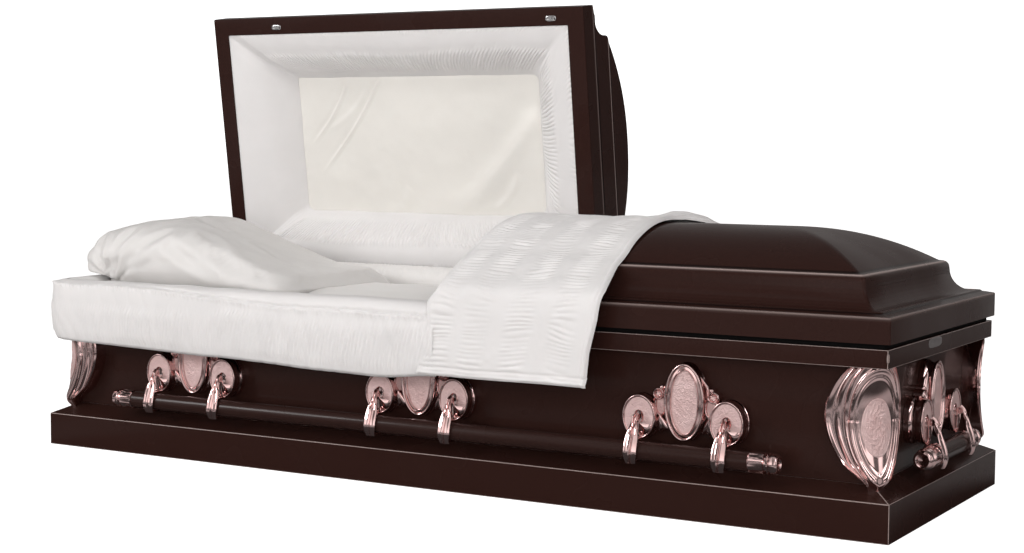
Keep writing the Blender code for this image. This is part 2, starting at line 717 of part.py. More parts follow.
def arm_mesh():
    """One arm in its pivot's frame: an eye, a leaf down the front, a strut and a bar clasp."""
    bar = (BAR_OUT, -BAR_DROP)
    clasp = BAR_RADIUS + CLASP_WALL
    outline = arc((0.0, 0.0), EYE_RADIUS, 180, 0, 3)
    outline += [(SHOULDER[0], -SHOULDER[1]), (BEND[0], -BEND[1]),
                (LEAF_REACH - LEAF_BULGE, -BAR_DROP + LEAF_HALF_HEIGHT), (LEAF_REACH, -BAR_DROP),
                (LEAF_REACH - LEAF_BULGE / 3, -BAR_DROP - LEAF_HALF_HEIGHT),
                (LEAF_REACH - LEAF_TOE, -BAR_DROP - clasp)]
    outline += arc(bar, clasp, 270, 150, 3)
    outline += [(-STRUT_OUT, -DRUM_HEIGHT / 2 - GAP), (-STRUT_OUT, -STRUT_TOP)]
    hole_radius = (BAR_RADIUS + GAP) / cos(pi / CLASP_SIDES)
    hole = arc(bar, hole_radius, 0, 360 - 360 / CLASP_SIDES, CLASP_SIDES - 1)
    window = [(-WINDOW_BACK, -STRUT_TOP), (WINDOW_NECK, -STRUT_TOP), (WINDOW_FRONT, -WINDOW_SHOULDER),
              (WINDOW_FRONT, -WINDOW_LOW), (-WINDOW_BACK, -WINDOW_LOW)]

    def half_width(u, v):
        share = min(1.0, max(0.0, (-v - NECK_DROP) / (BAR_DROP - NECK_DROP - NECK_TO_BAR)))
        smooth = share * share * (3 - 2 * share)
        return (NECK_WIDTH + (LEAF_WIDTH - NECK_WIDTH) * smooth) / 2

    return plate_with_holes("arm", [outline, hole, window], lambda u, v: -half_width(u, v),
                            half_width, lambda u, v, w: (w, -u, v))


def turned(name, profile, sides):
    """A solid turned about the X axis from (x, radius) points, closed at both ends."""
    points = []
    for x, radius in profile:
        for i in range(sides):
            angle = 2 * pi * (i + 0.5) / sides
            points.append((x, radius * cos(angle), radius * sin(angle)))
    faces = [tuple(range(sides)), tuple(range(sides * (len(profile) - 1), sides * len(profile)))]
    for k in range(len(profile) - 1):
        for i in range(sides):
            j = (i + 1) % sides
            faces.append((k * sides + i, k * sides + j, (k + 1) * sides + j, (k + 1) * sides + i))
    return mesh_from(name, points, faces)


def tip_mesh():
    groove = TIP_SLEEVE + TIP_GROOVE_WIDTH
    profile = [(0.0, TIP_RADIUS - TIP_TAPER), (TIP_SLEEVE, TIP_RADIUS - TIP_TAPER),
               (TIP_SLEEVE + TIP_GROOVE_WIDTH / 2, TIP_RADIUS - TIP_GROOVE_DEPTH),
               (groove, TIP_RADIUS), (TIP_LENGTH - TIP_CHAMFER, TIP_RADIUS - TIP_TAPER),
               (TIP_LENGTH, TIP_RADIUS - TIP_CHAMFER), (TIP_LENGTH - TIP_DISH_DEPTH, TIP_DISH_RADIUS)]
    return turned("bar_tip", profile, TIP_SIDES)


def handle_sides():
    """Each side's name, wall distance, plate places, bar length and turn about Z."""
    wall_y = HALF_WIDTH - WALL_INSET
    wall_x = HALF_LENGTH - WALL_INSET
    pitch = HALF_LENGTH - PLATE_FROM_END
    long_places = (("head", -pitch), ("middle", 0.0), ("foot", pitch))
    long_bar = 2 * pitch + DRUM_SPACING + 2 * BAR_OVERHANG
    end_bar = DRUM_SPACING + 2 * END_BAR_OVERHANG
    return (("front", wall_y, long_places, long_bar, 0.0),
            ("back", wall_y, long_places, long_bar, pi),
            ("foot", wall_x, (("end", 0.0),), end_bar, pi / 2),
            ("head", wall_x, (("end", 0.0),), end_bar, -pi / 2))


def handles():
    plate = handle_plate_mesh()
    arm = arm_mesh()
    tip = tip_mesh()
    for side, wall, places, length, turn in handle_sides():
        pivot_out = wall + DRUM_DEPTH + GAP + EYE_RADIUS
        out = Vector((sin(turn), -cos(turn), 0.0))
        along = Vector((cos(turn), sin(turn), 0.0))
        axis = empty(side + "_bar_swing", out * pivot_out + Vector((0.0, 0.0, DRUM_Z)))
        axis.rotation_euler = (0.0, 0.0, turn)
        tube_half = length / 2 - TIP_LENGTH - GAP
        tube = turned(side + "_bar", [(-tube_half, BAR_RADIUS), (tube_half, BAR_RADIUS)], BAR_SIDES)
        place(side + "_bar", tube, BAR_PAINT, axis, (0.0, -BAR_OUT, -BAR_DROP))
        for sign, hand in ((-1, "left"), (1, "right")):
            spot = (sign * (length / 2 - TIP_LENGTH), -BAR_OUT, -BAR_DROP)
            name = side + "_bar_tip_" + hand
            place(name, tip, ROSE, axis, spot, 0.0 if sign > 0 else pi)
        for where, shift in places:
            sign = 1 if side in ("front", "foot") else -1
            centre = along * (shift * sign) + out * wall + Vector((0.0, 0.0, PLATE_Z))
            place("handle_plate_" + side + "_" + where, plate, ROSE, None, centre, turn)
            for hand_sign, hand in ((-1, "left"), (1, "right")):
                spot = (shift * sign + hand_sign * DRUM_SPACING / 2, 0.0, 0.0)
                place(side + "_arm_" + where + "_" + hand, arm, ROSE, axis, spot)


def bed():
    """The bed frame on the pan, the mattress on it, the pillow and the back roll."""
    wall_x = HALF_LENGTH - WALL_INSET - SHEET
    wall_y = HALF_WIDTH - WALL_INSET - SHEET
    half_x = wall_x - MATTRESS_MARGIN
    half_y = wall_y - MATTRESS_MARGIN
    low = SHEET + GAP
    under = BED_FRAME_TOP - BED_FRAME_SHEET
    outline = [(-half_y, low), (-half_y, BED_FRAME_TOP), (half_y, BED_FRAME_TOP), (half_y, low),
               (half_y - BED_FRAME_SHEET, low), (half_y - BED_FRAME_SHEET, under),
               (-half_y + BED_FRAME_SHEET, under), (-half_y + BED_FRAME_SHEET, low)]
    frame = plate_with_holes("bed_frame", [outline], lambda u, v: -half_x, lambda u, v: half_x,
                             lambda u, v, w: (w, u, v))
    place("bed_frame", frame, STEEL)
    pad = box_mesh("mattress", (-half_x, -half_y, BED_FRAME_TOP + GAP), (half_x, half_y, MATTRESS_TOP))
    mattress = place("mattress", pad, SATIN)
    rounding = mattress.modifiers.new("rounding", "BEVEL")
    rounding.width = MATTRESS_ROUND
    rounding.segments = 2
    pillow_mesh(-half_x + PILLOW_FROM_END)
    back_roll(wall_y)


def squared(value):
    """A sine or cosine pushed outwards, so that a round plan becomes a soft rectangle."""
    return abs(value) ** PILLOW_SQUARE * (1 if value >= 0 else -1)


def pillow_mesh(start):
    """A flat-bottomed cushion, full at the head end and falling away towards the foot end."""
    turns = PILLOW_TURNS
    levels = PILLOW_LEVELS
    middle = start + PILLOW_LENGTH / 2
    low = MATTRESS_TOP + GAP
    points = []
    faces = []
    for k in range(levels + 1):
        lean = -pi / 2 + pi * (k + 0.5) / levels
        reach = cos(lean) ** PILLOW_EDGE if k < levels else 0.0
        height = (sin(lean) + 1) / 2 if k < levels else 1.0
        for i in range(turns if k < levels else 1):
            angle = 2 * pi * i / turns
            along = reach * squared(cos(angle))
            across = reach * squared(sin(angle))
            beyond = max(0.0, ((1 + along) / 2 - PILLOW_FALL_FROM) / (1 - PILLOW_FALL_FROM))
            full = 1 - PILLOW_FALL * beyond * beyond * (3 - 2 * beyond)
            points.append((middle + PILLOW_LENGTH / 2 * along, PILLOW_SHIFT + PILLOW_WIDTH / 2 * across,
                           low + PILLOW_HEIGHT * height * full if k else low))
    for k in range(levels - 1):
        for i in range(turns):
            j = (i + 1) % turns
            faces.append((k * turns + i, k * turns + j, (k + 1) * turns + j, (k + 1) * turns + i))
    faces.append(tuple(range(turns)))
    rim = (levels - 1) * turns
    faces += [(rim + i, rim + (i + 1) % turns, levels * turns) for i in range(turns)]
    place("pillow", mesh_from("pillow", points, faces, 80.0), SATIN)


def back_roll(wall_y):
    """The puffed lining that stands along the back wall of the head section."""
    outer = wall_y - GAP
    inner = outer - BACK_ROLL_WIDTH
    low = MATTRESS_TOP + GAP * 2
    round_z = (BACK_ROLL_TOP - low) / 2
    centre = ((outer + inner) / 2, BACK_ROLL_TOP - round_z)
    outline = arc(centre, (BACK_ROLL_WIDTH / 2, round_z), 180, 0, 6)
    outline += [(outer, low), (inner, low)]
    start = -(HALF_LENGTH - WALL_INSET - SHEET - MATTRESS_MARGIN)
    end = SPLIT_X - ROLL_TO_SPLIT
    mesh = plate_with_holes("back_roll", [outline], lambda u, v: start, lambda u, v: end,
                            lambda u, v, w: (w, u, v))
    place("back_roll", mesh, SHIRRED)


def roll_section(hem):
    """The rolled cloth's section as (inset at the front, inset at the head end, z, corner radius)."""
    inside = WALL_INSET + SHEET + MATTRESS_MARGIN - ROLL_PAST_MATTRESS
    rest = GASKET_TOP + GAP
    outside = [(ROLL_HEM_TAPER, hem), (0.0, hem + ROLL_SIDE_LOW), (0.0, ROLL_TOP - ROLL_SIDE_TOP),
               (ROLL_SHOULDER, ROLL_TOP - ROLL_SHOULDER_DROP)]
    over = [(RIM_INSET + ROLL_SHOULDER, ROLL_TOP), (inside - ROLL_LIP, ROLL_TOP - ROLL_SHOULDER),
            (inside, rest + ROLL_LIP_HEIGHT), (inside - ROLL_LIP_BACK, rest)]
    under = [(ROLL_THICK, rest), (ROLL_THICK, RIM_LOW), (ROLL_THICK - ROLL_LIP, hem)]
    section = [(depth - ROLL_OUT, depth - ROLL_OUT_HEAD, z, ROLL_CORNER) for depth, z in outside]
    section += [(inset, inset, z, ROLL_CORNER_MOUTH) for inset, z in over]
    section += [(depth - ROLL_OUT, depth - ROLL_OUT_HEAD, z, ROLL_CORNER_INNER) for depth, z in under]
    return section


def extendover():
    """Shirred fabric over the rim, hanging outside along the front and the head end."""
    start = SPLIT_X - ROLL_TO_SPLIT
    stop = HALF_WIDTH - RIM_INSET - ROLL_FROM_BACK
    stations = [("front", 0.0), ("front", 0.5)]
    for k in range(ROLL_CORNER_STEPS + 1):
        stations.append(("corner", k / ROLL_CORNER_STEPS))
    stations.append(("head", 1.0))
    points = []
    for kind, share in stations:
        along = share if kind == "front" else 1.0
        hem = ROLL_HEM_FRONT + (ROLL_HEM_HEAD - ROLL_HEM_FRONT) * along
        for front_in, head_in, z, radius in roll_section(hem):
            centre_x = -HALF_LENGTH + head_in + radius
            centre_y = -HALF_WIDTH + front_in + radius
            if kind == "front":
                points.append((start + (centre_x - start) * share, -HALF_WIDTH + front_in, z))
            elif kind == "head":
                points.append((-HALF_LENGTH + head_in, stop, z))
            else:
                angle = pi / 2 * share
                points.append((centre_x - radius * sin(angle), centre_y - radius * cos(angle), z))
    count = len(points) // len(stations)
    faces = [tuple(range(count)), tuple(range(len(points) - count, len(points)))]
    for k in range(len(stations) - 1):
        for i in range(count):
            j = (i + 1) % count
            faces.append((k * count + i, k * count + j, (k + 1) * count + j, (k + 1) * count + i))
    place("extendover", mesh_from("extendover", points, faces), SHIRRED)


clear_scene()
PAINT = material("casket_paint", (0.030, 0.013, 0.011), 0.25, 0.4)
ROSE = material("rose_gold", (0.72, 0.44, 0.40), 0.12, 1.0)
BAR_PAINT = material("bar_paint", (0.050, 0.026, 0.022), 0.3, 0.4)
SATIN = material("white_satin", (0.85, 0.83, 0.82), 0.5, 0.0)
SHIRRED = material("shirred_cloth", (0.86, 0.85, 0.84), 0.75, 0.0)
RUBBER = material("gasket_rubber", (0.01, 0.01, 0.01), 0.7, 0.0)
STEEL = material("plain_steel", (0.30, 0.30, 0.31), 0.4, 0.9)
base_moulding()
body_walls()
rim_moulding()
hinge()
corners()
bed()
extendover()
handles()
caps()
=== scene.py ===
"""The looks of a steel funeral casket: paint, rose gold castings, shirred cloth and satin.

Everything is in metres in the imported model's frame: +X along the length towards the foot end,
+Y towards the hinged back, +Z up. Pieces in the caps are shaped with the caps shut, and the head
cap's pieces are then turned open about its hinge.
"""
import json
from math import cos, pi, radians, sin

import bpy
import numpy as np
from mathutils import Matrix, Vector


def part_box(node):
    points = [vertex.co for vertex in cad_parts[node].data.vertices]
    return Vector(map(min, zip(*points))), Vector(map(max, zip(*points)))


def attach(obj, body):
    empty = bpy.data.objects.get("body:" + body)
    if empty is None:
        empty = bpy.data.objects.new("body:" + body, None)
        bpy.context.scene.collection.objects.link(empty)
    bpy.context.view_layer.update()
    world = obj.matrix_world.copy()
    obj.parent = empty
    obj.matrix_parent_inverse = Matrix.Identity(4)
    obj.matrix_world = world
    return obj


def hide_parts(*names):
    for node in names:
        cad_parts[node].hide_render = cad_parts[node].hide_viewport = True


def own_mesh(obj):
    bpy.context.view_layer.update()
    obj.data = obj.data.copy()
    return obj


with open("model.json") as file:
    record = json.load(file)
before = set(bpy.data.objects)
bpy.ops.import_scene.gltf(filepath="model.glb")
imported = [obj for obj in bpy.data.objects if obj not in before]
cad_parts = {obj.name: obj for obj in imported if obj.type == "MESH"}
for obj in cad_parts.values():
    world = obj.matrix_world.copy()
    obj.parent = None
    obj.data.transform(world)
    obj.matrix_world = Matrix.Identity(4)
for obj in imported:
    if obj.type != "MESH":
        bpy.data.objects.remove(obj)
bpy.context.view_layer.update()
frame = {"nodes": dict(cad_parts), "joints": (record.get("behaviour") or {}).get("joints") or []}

# The camera, fitted to the photograph: place, angles in radians, and focal length in pixels
CAMERA_AT = (2.1201, -3.5533, 0.7405)
CAMERA_YAW = 0.5304
CAMERA_PITCH = 0.0747
CAMERA_ROLL = 0.0061
FOCAL_PIXELS = 1810.82
IMAGE_WIDTH = 1024
SENSOR_MM = 36.0
FLOOR_SPAN = 6.0


def joint(name):
    return next(item for item in frame["joints"] if item["name"] == name)


def box_of(name):
    return [Vector(corner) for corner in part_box(name)]


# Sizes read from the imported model
BASE_HIGH = box_of("base_moulding")[1]
HALF_LENGTH = BASE_HIGH.x
HALF_WIDTH = BASE_HIGH.y
WALL_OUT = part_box("side_panel_back")[1][1]
WALL_INSET = HALF_WIDTH - WALL_OUT
RIM_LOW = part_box("rim_moulding")[0][2]
FOOT_CAP_LOW, FOOT_CAP_HIGH = box_of("foot_cap_shell")
LID_LOW = FOOT_CAP_LOW.z
LID_TOP = FOOT_CAP_HIGH.z
LID_INSET = HALF_LENGTH - FOOT_CAP_HIGH.x
LID_HALF = FOOT_CAP_HIGH.y
HEAD_HINGE = joint("head_cap_hinge")
HINGE_AT = Vector(HEAD_HINGE["pos_m"])
HEAD_OPEN = radians(-HEAD_HINGE["range_deg"][0])

# Lid profile, as in the solids: insets from the lid's rim and rises
SHEET = 0.0012
SPLIT_GAP = 0.003
SPLIT_X = FOOT_CAP_LOW.x - SPLIT_GAP / 2
LID_BAND = 0.050
LID_FLANGE = 0.042
LEDGE_WIDTH = 0.034
LEDGE_LIFT = 0.0055
COVE_WIDTH = 0.043
COVE_RISE = 0.048
BEAD_WIDTH = 0.018
BEAD_RISE = 0.0185
CROWN_POWER = 2.15
LID_RIM_TOP = LID_LOW + LID_BAND
EDGE_WIDTH = 0.0030
LID_CORNER = 0.004
HIP_CORNER = 0.014

MATTRESS_ROUND = 0.012
MATTRESS_CROWN = 0.028
PILLOW_OVERHANG = 0.095
PILLOW_SHORT = 0.030
PILLOW_CORNERS = 0.19
PILLOW_ROUND = 0.34
PILLOW_VOXEL = 0.006
PILLOW_PRESSURE = 3.0
PILLOW_SWELL = 0.012
CLOTH_FRAMES = 20

# Lining of the head cap
SURROUND_WIDTHS = (0.154, 0.148, 0.130, 0.130)
SURROUND_DEPTH = 0.100

# Folds pressed into the pillow, from its low corner: start, stop, depth and width
PILLOW_FOLDS = (
    ((0.11, 0.0, 0.05), (0.16, 0.05, 0.16), 0.010, 0.012),
    ((0.13, 0.0, 0.05), (0.26, 0.04, 0.15), 0.008, 0.014),
    ((0.10, 0.0, 0.05), (0.06, 0.05, 0.16), 0.007, 0.010),
    ((0.30, 0.02, 0.12), (0.44, 0.0, 0.05), 0.006, 0.013),
    ((0.36, 0.08, 0.14), (0.52, 0.03, 0.04), 0.006, 0.015),
    ((0.42, 0.22, 0.12), (0.56, 0.20, 0.05), 0.005, 0.016),
    ((0.20, 0.25, 0.17), (0.36, 0.18, 0.17), 0.004, 0.015))

# Folds in the lining panel, as shares of it: start u and v, stop u and v; height and width in metres
PANEL_FOLDS = (
    (0.216, 0.03, 0.06, 0.50, 0.0038, 0.0055), (0.36, 0.0, 0.10, 0.70, 0.0046, 0.0055),
    (0.30, 0.10, 0.12, 0.42, 0.0016, 0.010), (1.0, 0.25, 0.66, 1.0, 0.0090, 0.034),
    (0.90, 0.70, 0.80, 0.98, 0.0030, 0.012), (0.45, 0.80, 0.40, 1.0, 0.0026, 0.016))

# Cloth rolled over the rim
ROLL_OUT = 0.0305
ROLL_OUT_HEAD = 0.0105
ROLL_CORNER = 0.095
ROLL_TOP = 0.402
ROLL_HEM = 0.2475
HEM_SPLIT = 0.232
HEM_HEAD = 0.260
HEAD_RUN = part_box("extendover")[1][1] + HALF_WIDTH + ROLL_OUT - ROLL_CORNER

# The throw: its cloth, and its shirred bands as shares of its width
THROW_BANDS = (0.105, 0.32, 0.57, 0.82)
THROW_HANG_Y = -0.364

# Corner ornaments
POST_INSET = 0.018
CORNER_RADIUS = 0.073
CORNER_RADIUS_LOW = 0.004
CORNER_WAIST_Z = 0.240
CORNER_FOOT_Z = 0.084
CORNER_REACH_UP = 0.1016
FLANGE_WIDTH = 0.025
FRAME_Z = 0.222
FRAME_UP = 0.100
FRAME_DOWN = 0.122
FRAME_HALF = 0.0505
FRAME_POINT = 4 / 3
MEDALLION_Z = 0.211
MEDALLION_WIDTH = 0.062
MEDALLION_HEIGHT = 0.111
BASE_BAND = 0.075
LEDGE_RISE = 0.025
CONTACT_GAP = 0.0003

# Handle plates, arms and bars
PLATE_Z = 0.229
OVAL_WIDTH = 0.087
OVAL_HEIGHT = 0.155
OVAL_DEPTH = 0.0325
DRUM_WIDTH = 0.073
DRUM_HEIGHT = 0.089
DRUM_DEPTH = 0.040
DRUM_SPACING = 0.189
DRUM_DROP = 0.034
BAR_RADIUS = 0.019
BAR_DROP = 0.065
BAR_OUT = 0.0052
TIP_RADIUS = 0.0215
CATCH_Y = -0.3230

# Enamel, plate and cloth colours
PAINT_TONES = (0.021, 0.0080, 0.0062), (0.041, 0.0175, 0.0142)
# Paler enamel: a painted highlight on the frame's bevelled edges, and the key plug's paint
PALE_AND_HIGHLIGHT_TONES = (0.26, 0.20, 0.185), (0.44, 0.35, 0.33)
BAR_TONES = (0.022, 0.010, 0.0085), (0.040, 0.020, 0.017)
# Painted light on the enamel: a painted highlight colour for lines on edges, a painted shade colour for lines
# in grooves
PAINTED_HIGHLIGHT_COLOUR = (0.50, 0.40, 0.375)
PAINTED_SHADE_COLOUR = (0.002, 0.001, 0.001)
ROSE_BASE = (0.83, 0.585, 0.57)
ROSE_TONES = (0.78, 0.54, 0.525), (0.88, 0.65, 0.635)

# The studio: (position, brightness) stops for the backdrop's height and round it, and the floor by distance
WORLD_STRENGTH = 1.45
FLOOR_GLOW = 0.95
FLOOR_COLOUR = (0.66, 0.65, 0.645)
WARM = (1.0, 0.95, 0.93)
WHITE = (1.0, 1.0, 1.0)
RISE_STOPS = ((0.0, 0.4), (0.49, 0.5), (0.52, 1.0), (0.62, 0.90), (0.80, 0.50), (1.0, 0.34))
SCREEN_STOPS = (
    (0.0, 0.45), (0.025, 0.05), (0.085, 0.05), (0.100, 0.95), (0.142, 0.95), (0.150, 0.16), (0.182, 0.16),
    (0.190, 1.0), (0.270, 0.95), (0.285, 0.12), (0.315, 0.12), (0.330, 1.0), (0.383, 1.0), (0.393, 0.10),
    (0.442, 0.10), (0.452, 1.0), (0.490, 0.90), (0.505, 0.08), (0.545, 0.08), (0.560, 0.80), (0.595, 0.75),
    (0.610, 0.07), (0.690, 0.07), (0.720, 0.25), (0.890, 0.22), (0.910, 0.08), (0.965, 0.08), (1.0, 0.45))
FLOOR_STOPS = (
    (0.0, 0.07), (0.185, 0.07), (0.20, 0.70), (0.235, 0.70), (0.25, 0.08), (0.31, 0.08), (0.33, 0.65),
    (0.37, 0.65), (0.39, 0.09), (0.52, 0.09), (0.56, 0.70), (1.0, 0.80))
# name, place, aim, size, watts, seen in reflections
SOFTBOXES = (
    ("key", (-3.3, -3.3, 2.0), (-0.1, 0.0, 0.35), (1.3, 1.3), 50, True),
    ("overhead", (0.0, -1.4, 2.8), (0.0, 0.0, 0.3), (3.0, 0.9), 18, False),
    ("front_fill", (3.0, -4.4, 1.2), (0.0, 0.0, 0.35), (2.2, 1.6), 50, False),
    ("low_fill", (0.4, -3.4, 0.45), (-0.3, 0.3, 0.7), (2.4, 0.5), 11, False),
    ("strip", (3.3, -0.9, 2.2), (0.9, 0.0, 0.3), (0.4, 1.6), 9, True))


# Numbers that repeat the same way each run

def lattice(i, j, seed):
    n = (i * 73856093) ^ (j * 19349663) ^ (seed * 83492791)
    n = n & 0x7FFFFFF
    n = (n * 48271 + 12345) & 0x7FFFFFFF
    n = (n ^ (n >> 13)) * 1274126177 & 0x7FFFFFFF
    return (n & 0xFFFFF) / 0xFFFFF


def noise(u, v, seed=0):
    """Smooth values from 0 to 1 over a plane."""
    u, v = np.broadcast_arrays(np.asarray(u, float), np.asarray(v, float))
    i, j = np.floor(u).astype(np.int64), np.floor(v).astype(np.int64)
    a, b = u - i, v - j
    a, b = a * a * (3 - 2 * a), b * b * (3 - 2 * b)
    low = lattice(i, j, seed) * (1 - a) + lattice(i + 1, j, seed) * a
    high = lattice(i, j + 1, seed) * (1 - a) + lattice(i + 1, j + 1, seed) * a
    return low * (1 - b) + high * b


def rough(u, v, seed=0, octaves=3):
    total, weight, size = 0.0, 0.0, 1.0
    for k in range(octaves):
        total = total + noise(u / size, v / size, seed + 7 * k) * size
        weight += size
        size *= 0.5
    return total / weight


def step(low, high, value):
    share = np.clip((value - low) / (high - low), 0, 1)
    return share * share * (3 - 2 * share)


def hill(value, centre, width):
    return np.exp(-((value - centre) / width) ** 2)


def full_turn(count):
    """Angles of a full turn, as one row."""
    return np.linspace(0, 2 * pi, count, endpoint=False)[None, :]


def squarish(turn, power):
    """Cosine and sine drawn out towards a square's corners; a smaller power gives fuller corners."""
    return tuple(np.sign(value) * np.abs(value) ** power for value in (np.cos(turn), np.sin(turn)))


def run_along(line):
    """The length from a polyline's start to each of its points."""
    return np.concatenate([[0], np.cumsum(np.linalg.norm(np.diff(line, axis=0), axis=1))])


def gathers(across, along, pitch, length, seed):
    """Ridges of gathered cloth: across crosses the ridges, along follows them. From 0 to 1."""
    drift = 2.4 * noise(across / (5 * pitch), along / length, seed)
    drift = drift + 0.9 * noise(across / (2 * pitch), along / (0.6 * length), seed + 1)
    wave = across / pitch + drift
    ridge = np.abs(np.sin(pi * wave)) ** 0.75
    strength = 0.25 + 0.75 * noise(across / (2.5 * pitch), along / length * 1.5, seed + 2)
    return ridge * strength


def shirring(across, along, pitch, length, seed):
    """Even short ridges of machine shirring that drift a little. From 0 to 1."""
    drift = 0.9 * noise(across / (6 * pitch), along / length, seed)
    drift = drift + 0.4 * noise(across / (2.2 * pitch), along / (0.5 * length), seed + 1)
    ridge = np.abs(np.sin(pi * (across / pitch + drift))) ** 0.8
    return ridge * (0.5 + 0.5 * noise(across / (3 * pitch), along / length * 1.5, seed + 2))


# Meshes

def link(name, mesh, finish, body, stands_for=()):
    piece = bpy.data.objects.new(name, mesh)
    bpy.context.scene.collection.objects.link(piece)
    if finish is not None:
        mesh.materials.append(finish)
    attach(piece, body)
    if stands_for:
        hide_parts(*stands_for)
    return piece


def mesh_of(name, points, faces, smooth_deg=40.0):
    mesh = bpy.data.meshes.new(name)
    mesh.from_pydata(np.asarray(points, float).reshape(-1, 3).tolist(), [], faces)
    mesh.validate()
    mesh.shade_smooth()
    if smooth_deg < 180:
        mesh.set_sharp_from_angle(angle=radians(smooth_deg))
    return mesh


def grid_faces(rows, columns, wrap_rows=False, wrap_columns=False, start=0):
    i = np.arange(rows if wrap_rows else rows - 1)
    j = np.arange(columns if wrap_columns else columns - 1)
    i, j = np.meshgrid(i, j, indexing="ij")
    k, m = (i + 1) % rows, (j + 1) % columns
    quads = np.stack([i * columns + j, i * columns + m, k * columns + m, k * columns + j], -1)
    return (quads.reshape(-1, 4) + start).tolist()


def grid_normals(points, wrap_rows=False, wrap_columns=False):
    def slope(values, axis, wrap):
        if wrap:
            return np.roll(values, -1, axis) - np.roll(values, 1, axis)
        return np.gradient(values, axis=axis)
    normal = np.cross(slope(points, 1, wrap_columns), slope(points, 0, wrap_rows))
    size = np.linalg.norm(normal, axis=-1, keepdims=True)
    return normal / np.maximum(size, 1e-12)


def curve_through(points, count):
    """Evenly spaced points on a smooth curve through the given ones."""
    points = np.asarray(points, float)
    padded = np.vstack([2 * points[0] - points[1], points, 2 * points[-1] - points[-2]])
    dense = []
    for k in range(len(points) - 1):
        a, b, c, d = padded[k:k + 4]
        for t in np.linspace(0, 1, 24, endpoint=False):
            dense.append(0.5 * ((2 * b) + (c - a) * t + (2 * a - 5 * b + 4 * c - d) * t * t
                                + (3 * b - a - 3 * c + d) * t ** 3))
    dense.append(points[-1])
    return spaced_along(np.array(dense), count)


def spaced_along(line, count):
    lengths = run_along(line)
    at = np.linspace(0, lengths[-1], count)
    return np.stack([np.interp(at, lengths, line[:, k]) for k in range(line.shape[1])], -1)


def rounded(points, radius, steps=4):
    """A polyline with its corners rounded; radius may be one number or one for each point."""
    points = [np.asarray(p, float) for p in points]
    radii = radius if hasattr(radius, "__len__") else [radius] * len(points)
    found = [points[0]]
    for before, here, after, r in zip(points, points[1:], points[2:], radii[1:]):
        if r <= 0:
            found.append(here)
            continue
        one, two = before - here, after - here
        reach = min(r, np.linalg.norm(one) * 0.45, np.linalg.norm(two) * 0.45)
        start = here + one / np.linalg.norm(one) * reach
        end = here + two / np.linalg.norm(two) * reach
        for k in range(steps + 1):
            t = k / steps
            found.append((1 - t) ** 2 * start + 2 * t * (1 - t) * here + t * t * end)
    found.append(points[-1])
    return np.array(found)


def head_opened(points):
    """Turns points in the shut head cap to where the open cap holds them."""
    points = np.array(points, float)
    back = points[..., 1] - HINGE_AT.y
    up = points[..., 2] - HINGE_AT.z
    points[..., 1] = HINGE_AT.y + back * cos(HEAD_OPEN) + up * sin(HEAD_OPEN)
    points[..., 2] = HINGE_AT.z - back * sin(HEAD_OPEN) + up * cos(HEAD_OPEN)
    return points


# Materials

def new_material(name, colour, roughness, metallic=0.0, **values):
    made = bpy.data.materials.new(name)
    made.use_nodes = True
    shader = made.node_tree.nodes["Principled BSDF"]
    shader.inputs["Base Color"].default_value = (*colour, 1.0)
    shader.inputs["Roughness"].default_value = roughness
    shader.inputs["Metallic"].default_value = metallic
    for key, value in values.items():
        shader.inputs[key.replace("_", " ")].default_value = value
    return made


def node(made, kind, **inputs):
    item = made.node_tree.nodes.new(kind)
    for key, value in inputs.items():
        item.inputs[key.replace("_", " ")].default_value = value
    return item


def join(made, source, target):
    """Links an output to an input, or to the named input of the material's shader."""
    if isinstance(target, str):
        target = made.node_tree.nodes["Principled BSDF"].inputs[target]
    made.node_tree.links.new(source, target)


def noise_node(made, scale, detail=4.0):
    place = node(made, "ShaderNodeTexCoord")
    texture = node(made, "ShaderNodeTexNoise", Scale=scale, Detail=detail)
    join(made, place.outputs["Object"], texture.inputs["Vector"])
    return texture.outputs["Fac"]


def ramp(made, source, stops, tint=(1.0, 1.0, 1.0)):
    item = node(made, "ShaderNodeValToRGB")
    elements = item.color_ramp.elements
    while len(elements) < len(stops):
        elements.new(0.5)
    for element, (position, tone) in zip(elements, stops):
        element.position = position
        element.color = (*(tone if isinstance(tone, tuple) else (tone * share for share in tint)), 1.0)
    join(made, source, item.inputs["Fac"])
    return item.outputs["Color"]


def mixed(made, share, first, second):
    """A colour that goes from first to second; either is a socket or a plain colour."""
    item = node(made, "ShaderNodeMix")
    item.data_type = "RGBA"
    join(made, share, item.inputs["Factor"])
    for key, value in (("A", first), ("B", second)):
        if isinstance(value, tuple):
            item.inputs[key].default_value = (*value, 1.0)
        else:
            join(made, value, item.inputs[key])
    return item.outputs["Result"]


def scaled(made, source, operation, number):
    item = node(made, "ShaderNodeMath")
    item.operation = operation
    item.inputs[1].default_value = number
    join(made, source, item.inputs[0])
    return item.outputs["Value"]


def bump(made, height, strength, distance, before=None):
    item = node(made, "ShaderNodeBump", Strength=strength, Distance=distance)
    join(made, height, item.inputs["Height"])
    if before is not None:
        join(made, before.outputs["Normal"], item.inputs["Normal"])
    join(made, item.outputs["Normal"], "Normal")
    return item


